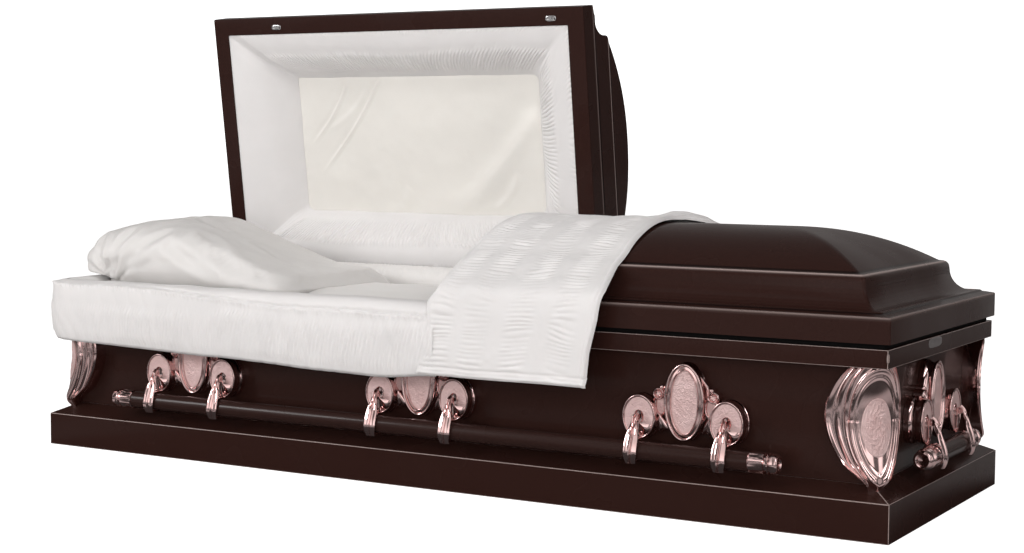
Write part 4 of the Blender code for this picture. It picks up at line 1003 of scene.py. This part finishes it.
def crease(piece, low, high, inner_end):
    """Folds that run up from the pillow's tucked front corner, and soft dents over its top."""
    mesh = piece.data
    points, normals = (np.zeros(len(mesh.vertices) * 3) for _ in range(2))
    mesh.vertices.foreach_get("co", points)
    mesh.vertices.foreach_get("normal", normals)
    points, normals = points.reshape(-1, 3), normals.reshape(-1, 3)
    tuck = np.array([low.x + 0.112, low.y, low.z + 0.040])
    dx, dy, dz = (points - tuck).T
    away = np.sqrt(dx * dx + dy * dy + dz * dz)
    angle = np.arctan2(dz + 0.6 * dy, dx)
    fan = np.abs(np.sin(angle * 5.5 + 1.2 * noise(angle * 3, away * 9, 77))) ** 0.7
    lift = -0.013 * hill(away, 0, 0.10) * (1 - fan) - 0.015 * hill(away, 0, 0.030)
    for start, stop, depth, wide in PILLOW_FOLDS:
        start, stop = np.array(start), np.array(stop)
        way = stop - start
        size = np.linalg.norm(way)
        way = way / size
        gap = points - (start + np.array(low))
        share = np.clip((gap @ way) / size, 0, 1)
        apart = np.linalg.norm(gap - share[:, None] * size * way, axis=1)
        lift = lift - depth * hill(apart, 0, wide) * np.sin(pi * (0.12 + 0.8 * share))
        lift = lift + 0.5 * depth * hill(apart, 2.0 * wide, wide)
    lift = lift + 0.0055 * (rough(points[:, 0] * 7, points[:, 1] * 9 + points[:, 2] * 7, 33) - 0.5) * 2
    lift = lift + 0.0016 * (rough(points[:, 0] * 30, points[:, 1] * 24 + points[:, 2] * 30, 36) - 0.5) * 2
    points = points + normals * lift[:, None]
    points[:, 2] = np.maximum(points[:, 2], low.z)
    points[:, :2] = np.clip(points[:, :2], np.array(low)[:2] - 0.004, np.array(high)[:2] + 0.004)
    over_roll = step(0.404, 0.420, points[:, 2])
    points[:, 0] = np.maximum(points[:, 0], inner_end + 0.002 - over_roll * (inner_end - low.x + 0.006))
    mesh.vertices.foreach_set("co", points.astype(np.float32).ravel())
    mesh.update()
    mesh.shade_smooth()


def back_roll():
    """The puffed roll along the back, gathered over its top."""
    low, high = box_of("back_roll")
    rows, columns = 28, 420
    t = np.linspace(0, 1, rows)[:, None]
    along = np.linspace(low.x, high.x, columns)[None, :]
    middle = (low.y + high.y) / 2
    half = (high.y - low.y) / 2
    angle = pi * (1 - t)
    bulk = 1 + 0.04 * (noise(along * 6, 0.0, 12) - 0.5)
    fine = gathers(along, t * 0.12, 0.010, 0.06, 61) * 0.0022 * step(0.0, 0.2, t)
    y = middle - (half * 0.96 * bulk - fine) * np.cos(angle) * -1
    z = low.z + (high.z - low.z) * (0.10 + 0.88 * np.sin(angle) ** 0.7) * bulk - fine * np.sin(angle)
    x = along + 0 * t
    x, y, z = np.broadcast_arrays(x, y, z)
    ring = np.stack([x, y, z], -1)
    floor = ring[[0, -1]].copy()
    floor[..., 2] = low.z
    ring = np.concatenate([floor[:1], ring, floor[1:]], 0)
    faces = grid_faces(rows + 2, columns, wrap_rows=True)
    mesh = mesh_of("back_roll_cloth", ring, faces, 80)
    piece = link("back_roll_cloth", mesh, SATIN, "shell", ("back_roll",))
    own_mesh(piece)


# Rose gold castings

def ledge_height(inset):
    return BASE_BAND + LEDGE_RISE * np.minimum(inset, WALL_INSET) / WALL_INSET


def corner_radius(z):
    low = np.clip((CORNER_WAIST_Z - z) / (CORNER_WAIST_Z - CORNER_FOOT_Z), 0, 1)
    below = np.maximum(CORNER_RADIUS_LOW, CORNER_RADIUS * (1 - low * low) ** 0.75)
    high = np.clip((z - CORNER_WAIST_Z) / CORNER_REACH_UP, 0, 0.999)
    above = CORNER_RADIUS * np.sqrt(1 - high * high)
    return np.where(z < CORNER_WAIST_Z, below, above)


def corner_tuck(z):
    """How far the post draws in towards the wall near its foot."""
    return 0.45 * (WALL_INSET - POST_INSET) * step(0.118, 0.086, z)


def corner_surface(across, z, lift):
    radius = corner_radius(z)
    tuck = corner_tuck(z)
    half_arc = radius * pi / 4
    angle = pi / 4 + np.clip(across, -half_arc, half_arc) / radius
    reach = radius + lift
    a = POST_INSET + radius - reach * np.sin(angle)
    b = POST_INSET + radius - reach * np.cos(angle)
    beyond = np.maximum(np.abs(across) - half_arc, 0.0)
    return a + tuck + np.where(across < 0, beyond, 0.0), b + tuck + np.where(across > 0, beyond, 0.0)


def relief(u, v, seed):
    """A generic cast ornament of curling stems and leaves, from 0 to 1."""
    bend = 0.35 * np.sin(v * 9.0) + 0.12 * np.sin(v * 23.0 + 1.0)
    stem = np.exp(-((u - bend * 0.45) / 0.055) ** 2)
    turn = np.arctan2(v * 1.2, u)
    away = np.hypot(u, v * 1.2)
    petals = np.exp(-((away - 0.42 - 0.10 * np.sin(turn * 7 + 5 * away)) / 0.075) ** 2)
    leaves = np.abs(np.sin(turn * 6 + 14 * away)) ** 2.2 * np.exp(-((away - 0.62) / 0.26) ** 2)
    grain = rough(u * 22, v * 22, seed, 2)
    return np.clip(0.7 * stem + 0.7 * petals + 0.75 * leaves + 0.35 * grain, 0, 1.4) / 1.4


def corner_ornament(name, side_x, side_y):
    """A cast corner post: ribbed flanges on both walls and a raised frame round its medallion."""
    rows, columns = 110, 121
    back = WALL_INSET - CONTACT_GAP
    low = ledge_height(POST_INSET) + 0.0004
    top = RIM_LOW - CONTACT_GAP
    z = np.linspace(low, top, rows)[:, None]
    radius = corner_radius(z)
    half_arc = radius * pi / 4
    s = np.linspace(-1, 1, columns)[None, :]
    fuller = 0.020 * hill(z, FRAME_Z, 0.085)
    flange = np.where(s < 0, FLANGE_WIDTH + fuller, FLANGE_WIDTH - 0.018)
    flange = np.maximum(flange * step(0.082, 0.150, z), back + 0.0015 - POST_INSET - radius - corner_tuck(z))
    split = 0.66
    f = (np.abs(s) - split) / (1 - split)
    across = np.where(np.abs(s) <= split, s / split * half_arc, np.sign(s) * (half_arc + f * flange))
    ribs = (0.0032 * hill(f, 0.06, 0.05) + 0.0026 * hill(f, 0.42, 0.06) + 0.0034 * hill(f, 0.90, 0.07)
            - 0.0018 * hill(f, 0.66, 0.12))
    lift = np.where(f > 0, ribs, 0.0) * step(0.088, 0.125, z)
    lower = z < FRAME_Z
    rise = (z - FRAME_Z) / np.where(lower, FRAME_DOWN, FRAME_UP)
    aside = np.abs(across) / FRAME_HALF
    oval = np.sqrt(np.where(lower, aside ** FRAME_POINT, aside ** 2) + rise ** 2)
    inside = np.abs(across) < half_arc
    lift = lift + (0.0048 * hill(oval, 1.0, 0.050) + 0.0014 * hill(oval, 0.84, 0.03)) * inside
    a, b = corner_surface(across, z, lift)
    z = np.maximum(z + 0 * a, ledge_height(np.minimum(a, b)) + 0.0004)
    edge_front = np.stack([a[:, :1], np.full_like(a[:, :1], back), z[:, :1]], -1)
    edge_end = np.stack([np.full_like(a[:, -1:], back), b[:, -1:], z[:, -1:]], -1)
    grid = np.concatenate([edge_front, np.stack([a, b, z], -1), edge_end], 1)
    grid[..., 2] = np.maximum(grid[..., 2], ledge_height(np.minimum(grid[..., 0], grid[..., 1])) + 0.0004)
    faces = grid_faces(rows, columns + 2)
    corner_piece(name + "_cast", grid, faces, side_x, side_y, 50, ROSE, (name,))
    medallion(name + "_medallion", side_x, side_y)


def corner_piece(name, grid, faces, side_x, side_y, smooth, finish, stands_for=()):
    """Links a piece given as insets from a corner of the base, turned to face outwards."""
    points = np.stack([side_x * (HALF_LENGTH - grid[..., 0]), side_y * (HALF_WIDTH - grid[..., 1]),
                       grid[..., 2]], -1)
    if side_x * side_y > 0:
        faces = [face[::-1] for face in faces]
    link(name, mesh_of(name, points, faces, smooth), finish, "shell", stands_for)


def medallion(name, side_x, side_y):
    """An oval with a cast relief and a thin border."""
    rings, turns = 40, 96
    r = np.linspace(0.0, 1.0, rings)[:, None]
    turn = full_turn(turns)
    u, v = r * np.cos(turn), r * np.sin(turn)
    across = u * MEDALLION_WIDTH / 2
    z = MEDALLION_Z + v * MEDALLION_HEIGHT / 2
    lift = 0.0006 + 0.0026 * relief(u, v, 5) * step(1.0, 0.93, r) + 0.0012 * hill(r, 0.965, 0.02)
    a, b = corner_surface(across, z, lift)
    faces = grid_faces(rings, turns, wrap_columns=True)
    corner_piece(name, np.stack([a, b, z + 0 * a], -1), faces, side_x, side_y, 180, ROSE_GRAIN)


# Each side's turn about +Z and its wall's distance from the middle
SIDES = {
    "front": (0.0, HALF_WIDTH - WALL_INSET), "back": (pi, HALF_WIDTH - WALL_INSET),
    "foot": (pi / 2, HALF_LENGTH - WALL_INSET), "head": (-pi / 2, HALF_LENGTH - WALL_INSET)}


def on_wall(points, side, centre):
    """Points (u along the wall, out from it, up) to the casket's frame."""
    turn, _ = SIDES[side]
    points = np.asarray(points, float)
    x = points[..., 0] * cos(turn) + points[..., 1] * sin(turn)
    y = points[..., 0] * sin(turn) - points[..., 1] * cos(turn)
    return np.stack([x + centre[0], y + centre[1], points[..., 2] + centre[2]], -1)


class Casting:
    """Collects grids of points into one mesh with two finishes."""

    def __init__(self):
        self.points, self.faces, self.finish = [], [], []
        self.count = 0

    def grid(self, grid, wrap_rows=False, wrap_columns=False, finish=0, flip=False):
        rows, columns = grid.shape[:2]
        faces = grid_faces(rows, columns, wrap_rows, wrap_columns, self.count)
        if flip:
            faces = [face[::-1] for face in faces]
        self.points.append(grid.reshape(-1, 3))
        self.faces += faces
        self.finish += [finish] * len(faces)
        self.count += rows * columns

    def oval(self, centre, wide, high, levels, turns, finish=0):
        """Rings of (shrink, out) levels round an oval."""
        turn = full_turn(turns)
        shrink, out = np.array(levels).T[..., None]
        u = centre[0] + np.maximum(wide - shrink, 0.0005) * np.cos(turn)
        v = centre[1] + np.maximum(high - shrink, 0.0005) * np.sin(turn)
        self.grid(np.stack([u, out + 0 * u, v], -1), wrap_columns=True, finish=finish)

    def field(self, centre, wide, high, out, rings, turns, seed, grain, hole=0.01):
        """A flat oval with a cast grain."""
        r = np.linspace(1, hole, rings)[:, None]
        turn = full_turn(turns)
        u, v = r * wide * np.cos(turn), r * high * np.sin(turn)
        lift = grain * (noise(u * 430, v * 430, seed) - 0.5) * step(1.0, 0.93, r)
        self.grid(np.stack([centre[0] + u, out + lift, centre[1] + v], -1), wrap_columns=True, finish=1)

    def place(self, name, side, centre, body):
        """Turns the casting onto a side of the casket and links it in place of its CAD node."""
        points = [on_wall(part, side, centre) for part in self.points]
        mesh = mesh_of(name + "_cast", np.vstack(points), self.faces)
        mesh.materials.append(ROSE)
        mesh.materials.append(ROSE_GRAIN)
        mesh.polygons.foreach_set("material_index", self.finish)
        link(name + "_cast", mesh, None, body, (name,))


def dish(centre, outer, rise, lobes, spread_deg, start_deg, casting, floor_out, ribs=0.0012):
    """A fan of petals: a shell shape that spreads from a hinge point."""
    rings, turns = 10, 40
    r = np.linspace(0.12, 1.0, rings)[:, None]
    angle = np.radians(start_deg + spread_deg * np.linspace(0, 1, turns))[None, :]
    phase = np.linspace(0, lobes, turns)[None, :]
    scallop = np.abs(np.sin(pi * phase))
    reach = outer * r * (0.90 + 0.10 * scallop * r)
    u = centre[0] + reach * np.cos(angle)
    v = centre[1] + reach * np.sin(angle)
    across = np.linspace(-1, 1, turns)[None, :]
    dome = rise * np.sqrt(np.clip(1 - r ** 3, 0, 1)) * (1 - 0.5 * across ** 2) + ribs * scallop * r
    out = floor_out + dome
    casting.grid(np.stack([u, out, v], -1), finish=0)


def bead(at, half, base, height):
    """Levels of a half-round bead: at is how far in it runs."""
    return [(at - half * cos(a), base + height * sin(a)) for a in np.linspace(0, pi, 7)]


def handle_plate(name, side, centre):
    """An oval plate with a drum, a web, scrolls, balls and fans of petals on either side of it."""
    cast = Casting()
    wide, high, deep = OVAL_WIDTH / 2, OVAL_HEIGHT / 2, OVAL_DEPTH
    cup = [(-0.0015, 0.001), (-0.0015, 0.010), (0.0035, 0.015), (0.0045, 0.021), (0.0012, 0.026)]
    cup += [(0.0, deep - 0.004)] + bead(0.0030, 0.0030, deep - 0.0032, 0.0032)
    cup += [(0.0064, deep - 0.0036), (0.0112, deep - 0.0028)] + bead(0.0132, 0.0017, deep - 0.0032, 0.0022) + [(0.0152, deep - 0.0046)]
    cast.oval((0, 0), wide, high, cup, 72)
    cast.field((0, 0), wide - 0.0152, high - 0.0152, deep - 0.0046, 30, 100, 5, 0.0013)
    skirt = [(0.0, 0.001), (0.0, 0.010)] + bead(0.003, 0.003, 0.012, 0.004) + [(0.011, 0.013)]
    cast.oval((0, 0.002), wide + 0.0085, high - 0.016, skirt, 56)
    for sign in (-1, 1):
        at = (sign * DRUM_SPACING / 2, -DRUM_DROP)
        half_wide, half_high, deep = DRUM_WIDTH / 2, DRUM_HEIGHT / 2, DRUM_DEPTH
        drum = [(-0.001, 0.001), (-0.001, 0.012), (0.0025, 0.016), (0.003, 0.024), (0.0005, 0.028)]
        drum += [(0.0, deep - 0.003)] + bead(0.0022, 0.0022, deep - 0.0024, 0.0022)
        drum += [(0.0052, deep - 0.0026)]
        cast.oval(at, half_wide, half_high, drum, 56)
        half_wide, half_high, hole = half_wide - 0.0052, half_high - 0.0052, 0.36
        cast.field(at, half_wide, half_high, deep - 0.0026, 20, 80, 9 + sign, 0.0011, hole)
        well = [(0.0, deep - 0.0026), (0.0006, deep - 0.0016), (0.0016, deep - 0.0026),
                (0.0022, deep - 0.0085), (0.0088, deep - 0.0090)]
        cast.oval(at, hole * half_wide, hole * half_high, well, 32)
        dish((at[0] + 0.002, at[1] - 0.008), 0.031, 0.0065, 1, 78, -92, cast, deep - 0.0028, 0.0003)
        dish((sign * 0.0530, -0.024), 0.040, 0.010, 3, 70, -125, cast, 0.019)
        scroll = [(0.0, 0.001), (0.0, 0.018)] + bead(0.0024, 0.0024, 0.019, 0.0042) + [(0.0056, 0.0195)]
        cast.oval((sign * 0.0590, 0.0125), 0.0130, 0.0125, scroll + bead(0.0080, 0.0020, 0.0200, 0.0030), 28)
        cast.field((sign * 0.0590, 0.0125), 0.0035, 0.0030, 0.0215, 3, 20, 3, 0.0004)
        ball = [(0.0, 0.001), (0.0, 0.014)]
        ball += [(0.0062 - 0.0062 * cos(a), 0.014 + 0.0075 * sin(a)) for a in np.linspace(0, pi / 2, 6)]
        cast.oval((sign * 0.0530, 0.0255), 0.0062, 0.0062, ball, 20)
        web = [(0.0, 0.001), (0.0, 0.016)] + bead(0.0025, 0.0025, 0.0175, 0.0035) + [(0.0056, 0.0180)]
        cast.oval((sign * 0.0545, -0.010), 0.0150, 0.0230, web, 32)
        cast.field((sign * 0.0545, -0.010), 0.0094, 0.0174, 0.0180, 8, 40, 4, 0.0012)
    cast.place(name, side, centre, "shell")


def arm(name, side, pivot, body):
    """A leaf-shaped swing arm: eye, ridged front leaf, back strut and a clasp round the bar."""
    cast = Casting()
    leaf = curve_through([(0.000, 0.0085), (0.007, 0.001), (0.0125, -0.014), (0.0195, -0.034),
                          (0.0262, -0.052), (0.0290, -0.067), (0.0275, -0.080), (0.0235, -0.0885)], 34)
    s = np.linspace(0, 1, len(leaf))[:, None]
    half = 0.0046 + 0.0104 * step(0.08, 0.55, s) - 0.0034 * step(0.80, 1.0, s)
    tangent = np.gradient(leaf, axis=0)
    tangent /= np.linalg.norm(tangent, axis=1, keepdims=True)
    outward = np.stack([-tangent[:, 1], tangent[:, 0]], -1)
    outward *= np.sign(outward[:, :1] + 1e-9)
    ridges = [(0.10, 0.0012), (0.22, 0.0026), (0.45, 0.0010), (0.70, 0.0018), (0.97, 0.0004), (1.0, -0.0012)]
    section = [(-at, high) for at, high in reversed(ridges)] + [(0.0, 0.0034)] + ridges
    across, raised = np.array(section + [(0.6, -0.0030), (-0.6, -0.0030)]).T[:, None]
    u = half * across
    out = leaf[:, :1] + outward[:, :1] * raised
    up = leaf[:, 1:] + outward[:, 1:] * raised
    cast.grid(np.stack([u, out, up], -1), wrap_columns=True)
    strut = curve_through([(0.002, 0.004), (-0.0040, -0.006), (-0.0052, -0.022), (-0.0060, -0.038),
                           (-0.0125, -0.050), (-0.0165, -0.060)], 18)
    bar_ring(cast, strut, 0.0042, 0.0030)
    eye_turn = full_turn(24)
    eye_out = np.array([0.0018, 0.0070, 0.0078, 0.0070, 0.0018, 0.0018])[:, None]
    eye_u = np.array([-0.0048, -0.0048, 0.0, 0.0048, 0.0048, -0.0048])[:, None]
    cast.grid(np.stack([eye_u + 0 * eye_turn, eye_out * np.cos(eye_turn), eye_out * np.sin(eye_turn)], -1),
              wrap_columns=True, flip=True)
    ring_r = np.array([0.0192, 0.0232, 0.0238, 0.0232, 0.0192])[:, None]
    ring_u = np.array([-0.0085, -0.0085, 0.0, 0.0085, 0.0085])[:, None]
    turn = full_turn(36)
    ring = [ring_u + 0 * turn, BAR_OUT + ring_r * np.cos(turn), -BAR_DROP + ring_r * np.sin(turn)]
    cast.grid(np.stack(ring, -1), wrap_rows=True, wrap_columns=True, flip=True)
    cast.place(name, side, pivot, body)


def bar_ring(cast, path, half_u, half_n):
    """A flat bar swept along a path in the (out, up) plane."""
    tangent = np.gradient(path, axis=0)
    tangent /= np.linalg.norm(tangent, axis=1, keepdims=True)
    normal = np.stack([-tangent[:, 1], tangent[:, 0]], -1)
    turn = full_turn(12)
    u = half_u * np.cos(turn) + 0 * path[:, :1]
    n = half_n * np.sin(turn)
    out = path[:, :1] + normal[:, :1] * n
    up = path[:, 1:] + normal[:, 1:] * n
    cast.grid(np.stack([u, out, up], -1), wrap_columns=True)


def turned_along(side, centre, profile, turns, facets=0):
    """A turned piece whose axis runs along the wall, from (u, radius, share of flattening) points."""
    turn = full_turn(turns)
    u, radius, flat = np.array(profile).T[..., None]
    if facets:
        step_angle = 2 * pi / facets
        local = (turn + step_angle / 2) % step_angle - step_angle / 2
        radius = radius * (1 - flat + flat * cos(step_angle / 2) / np.cos(local))
    points = np.stack([u + 0 * turn, radius * np.cos(turn), radius * np.sin(turn)], -1)
    return on_wall(points, side, centre)


def bar_and_tips(side, hinge_at, out):
    """A bar with a turned tip at each end, eight-sided next to the bar."""
    body = side + "_bar"
    centre = hinge_at + out * BAR_OUT - Vector((0, 0, BAR_DROP))
    low, high = box_of(body)
    half = max(high.x - low.x, high.y - low.y) / 2
    thin = BAR_RADIUS * 0.9
    tube = [(-half, thin, 0), (-half, BAR_RADIUS, 0), (half, BAR_RADIUS, 0), (half, thin, 0)]
    tube = turned_along(side, centre, tube, 48)
    mesh = mesh_of(body + "_tube", tube, grid_faces(4, 48, wrap_columns=True), 40)
    link(body + "_tube", mesh, BAR_PAINT, body, (body,))
    for sign, hand in ((-1, "left"), (1, "right")):
        r = TIP_RADIUS
        profile = [(0.0, 0.0190, 0), (0.0, r - 0.0012, 0), (0.0020, r, 0.0), (0.0035, r, 1.0),
                   (0.0300, r, 1.0), (0.0320, r - 0.0005, 0.2), (0.0335, r - 0.0040, 0),
                   (0.0365, r - 0.0040, 0), (0.0380, r - 0.0010, 0), (0.0400, r, 0),
                   (0.0420, r - 0.0008, 0), (0.0430, r - 0.0030, 0), (0.0450, r - 0.0030, 0),
                   (0.0465, r - 0.0012, 0), (0.0550, r - 0.0022, 0), (0.0590, r - 0.0050, 0),
                   (0.0600, r - 0.0075, 0), (0.0592, r - 0.0100, 0), (0.0560, r - 0.0115, 0),
                   (0.0550, 0.0004, 0)]
        profile = [(sign * (half + CONTACT_GAP + u), radius, flat) for u, radius, flat in profile]
        tip = turned_along(side, centre, profile, 64, 8)
        name = body + "_tip_" + hand
        faces = grid_faces(len(profile), 64, wrap_columns=True)
        if sign < 0:
            faces = [face[::-1] for face in faces]
        mesh = mesh_of(name + "_cast", tip, faces, 35)
        link(name + "_cast", mesh, ROSE, body, (name,))


def handles():
    places = {"front": ("head", "middle", "foot"), "back": ("head", "middle", "foot"),
              "foot": ("end",), "head": ("end",)}
    for side, names in places.items():
        turn, wall = SIDES[side]
        out = Vector((sin(turn), -cos(turn), 0.0))
        along = Vector((cos(turn), sin(turn), 0.0))
        hinge_at = Vector(joint(side + "_bar_swing")["pos_m"])
        for where in names:
            plate = "handle_plate_" + side + "_" + where
            shift = (sum(box_of(plate), Vector()) / 2).dot(along)
            centre = along * shift + out * wall + Vector((0, 0, PLATE_Z))
            handle_plate(plate, side, centre)
            for sign, hand in ((-1, "left"), (1, "right")):
                pivot = hinge_at + along * (shift + sign * DRUM_SPACING / 2)
                arm(side + "_arm_" + where + "_" + hand, side, pivot, side + "_bar")
        bar_and_tips(side, hinge_at, out)


# Small fittings

def fitting(name, body, finish, centre, half, long_axis, out_axis, rise, opened=False):
    """A small domed plate: half is its half length and half width."""
    levels = [(1.0, 0.0), (1.0, 0.55), (0.93, 0.85), (0.80, 1.0), (0.55, 1.0), (0.45, 0.75), (0.02, 0.75)]
    turn = full_turn(32)[0]
    long_axis, out_axis = np.array(long_axis, float), np.array(out_axis, float)
    short_axis = np.cross(out_axis, long_axis)
    rows = []
    for share, height in levels:
        u, v = (value * size * share for value, size in zip(squarish(turn, 0.6), half))
        rows.append(np.array(centre) + u[:, None] * long_axis + v[:, None] * short_axis
                    + height * rise * out_axis)
    points = head_opened(rows) if opened else rows
    mesh = mesh_of(name, points, grid_faces(len(levels), 32, wrap_columns=True), 40)
    link(name, mesh, finish, body)


def small_fittings():
    """The bare plate and keyhole plug on the foot end, and the catches on the head cap's flange."""
    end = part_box("rim_moulding")[1][0] - 0.0004
    fitting("name_plate_bare", "shell", GREY_PLATE, (end, -0.059, 0.349), (0.0425, 0.0100),
            (0, 1, 0), (1, 0, 0), 0.0016)
    fitting("key_plug", "shell", PAINT_PALE_AND_HIGHLIGHT, (end, -0.3435, 0.3445), (0.0085, 0.0055),
            (0, 0, 1), (1, 0, 0), 0.0022)
    for place, x in (("head", -0.840), ("foot", -0.015)):
        catch = ("lid_catch_" + place, (x, CATCH_Y, LID_LOW + 0.0004), (0.0150, 0.0070), 0.0040)
        stud = ("lid_catch_stud_" + place, (x + 0.008, CATCH_Y, LID_LOW - 0.0024), (0.0048, 0.0048), 0.0052)
        for name, at, half, rise in (catch, stud):
            fitting(name, "head_cap", CHROME, at, half, (1, 0, 0), (0, 0, -1), rise, True)


# Stage, light and camera

def stage():
    mesh = mesh_of("floor", [(-30, -30, -0.0006), (30, -30, -0.0006), (30, 30, -0.0006), (-30, 30, -0.0006)],
                   [(0, 1, 2, 3)])
    floor = bpy.data.objects.new("floor", mesh)
    bpy.context.scene.collection.objects.link(floor)
    mesh.materials.append(floor_material())
    studio()
    for box in SOFTBOXES:
        softbox(*box)


def studio():
    """A pale studio: white to the camera, with screens and dark gaps round it for the metal."""
    world = bpy.data.worlds.new("studio")
    bpy.context.scene.world = world
    world.use_nodes = True
    back = world.node_tree.nodes["Background"]
    place = node(world, "ShaderNodeTexCoord")
    split = node(world, "ShaderNodeSeparateXYZ")
    height = node(world, "ShaderNodeMapRange", From_Min=-1.0)
    round_about = node(world, "ShaderNodeTexGradient")
    round_about.gradient_type = "RADIAL"
    join(world, place.outputs["Generated"], split.inputs["Vector"])
    join(world, place.outputs["Generated"], round_about.inputs["Vector"])
    join(world, split.outputs["Z"], height.inputs["Value"])
    light = node(world, "ShaderNodeVectorMath")
    light.operation = "MULTIPLY"
    join(world, ramp(world, height.outputs["Result"], RISE_STOPS, WARM), light.inputs[0])
    join(world, ramp(world, round_about.outputs["Fac"], SCREEN_STOPS), light.inputs[1])
    rays = node(world, "ShaderNodeLightPath")
    seen = mixed(world, rays.outputs["Is Camera Ray"], light.outputs["Vector"], WHITE)
    join(world, seen, back.inputs["Color"])
    back.inputs["Strength"].default_value = WORLD_STRENGTH


def floor_material():
    """Pale to the camera; in reflections a dark sweep with a pale band, which gives the metal contrast."""
    made = new_material("pale_floor", WHITE, 0.9, Specular_IOR_Level=0.0, Emission_Color=(*WHITE, 1.0))
    place = node(made, "ShaderNodeTexCoord")
    away = node(made, "ShaderNodeVectorMath")
    away.operation = "LENGTH"
    join(made, place.outputs["Object"], away.inputs[0])
    mirrored = ramp(made, scaled(made, away.outputs["Value"], "DIVIDE", FLOOR_SPAN), FLOOR_STOPS)
    rays = node(made, "ShaderNodeLightPath")
    join(made, mixed(made, rays.outputs["Is Glossy Ray"], FLOOR_COLOUR, mirrored), "Base Color")
    join(made, scaled(made, rays.outputs["Is Camera Ray"], "MULTIPLY", FLOOR_GLOW), "Emission Strength")
    return made


def softbox(name, at, toward, size, power, mirrored):
    light = bpy.data.lights.new(name, "AREA")
    light.shape = "RECTANGLE"
    light.size, light.size_y = size
    light.energy = power
    lamp = bpy.data.objects.new(name, light)
    bpy.context.scene.collection.objects.link(lamp)
    lamp.location = at
    lamp.visible_glossy = mirrored
    lamp.rotation_euler = (Vector(toward) - Vector(at)).to_track_quat("-Z", "Y").to_euler()


def camera():
    yaw, pitch, roll = CAMERA_YAW, CAMERA_PITCH, CAMERA_ROLL
    forward = Vector((-sin(yaw) * cos(pitch), cos(yaw) * cos(pitch), -sin(pitch)))
    right = forward.cross(Vector((0, 0, 1))).normalized()
    up = right.cross(forward)
    right_r = right * cos(roll) + up * sin(roll)
    up_r = -right * sin(roll) + up * cos(roll)
    data = bpy.data.cameras.new("camera")
    data.sensor_width = SENSOR_MM
    data.lens = FOCAL_PIXELS / IMAGE_WIDTH * SENSOR_MM
    data.clip_end = 100
    shot = bpy.data.objects.new("camera", data)
    bpy.context.scene.collection.objects.link(shot)
    turn = Matrix((right_r, up_r, -forward)).transposed()
    shot.matrix_world = Matrix.Translation(CAMERA_AT) @ turn.to_4x4()
    bpy.context.scene.camera = shot


bpy.context.scene.view_settings.view_transform = "Standard"
camera()
stage()
painted_frame()
lid_shell("foot_cap_paint", "foot_cap", SPLIT_X + SPLIT_GAP / 2, HALF_LENGTH - LID_INSET, False)
lid_shell("head_cap_paint", "head_cap", SPLIT_X - SPLIT_GAP / 2, -HALF_LENGTH + LID_INSET, True)
for side_y, near in ((-1, "front"), (1, "back")):
    for side_x, far in ((-1, "head"), (1, "foot")):
        corner_ornament("corner_ornament_" + near + "_" + far, side_x, side_y)
handles()
small_fittings()
head_lining()
mattress()
pillow()
back_roll()
extendover()
throw()
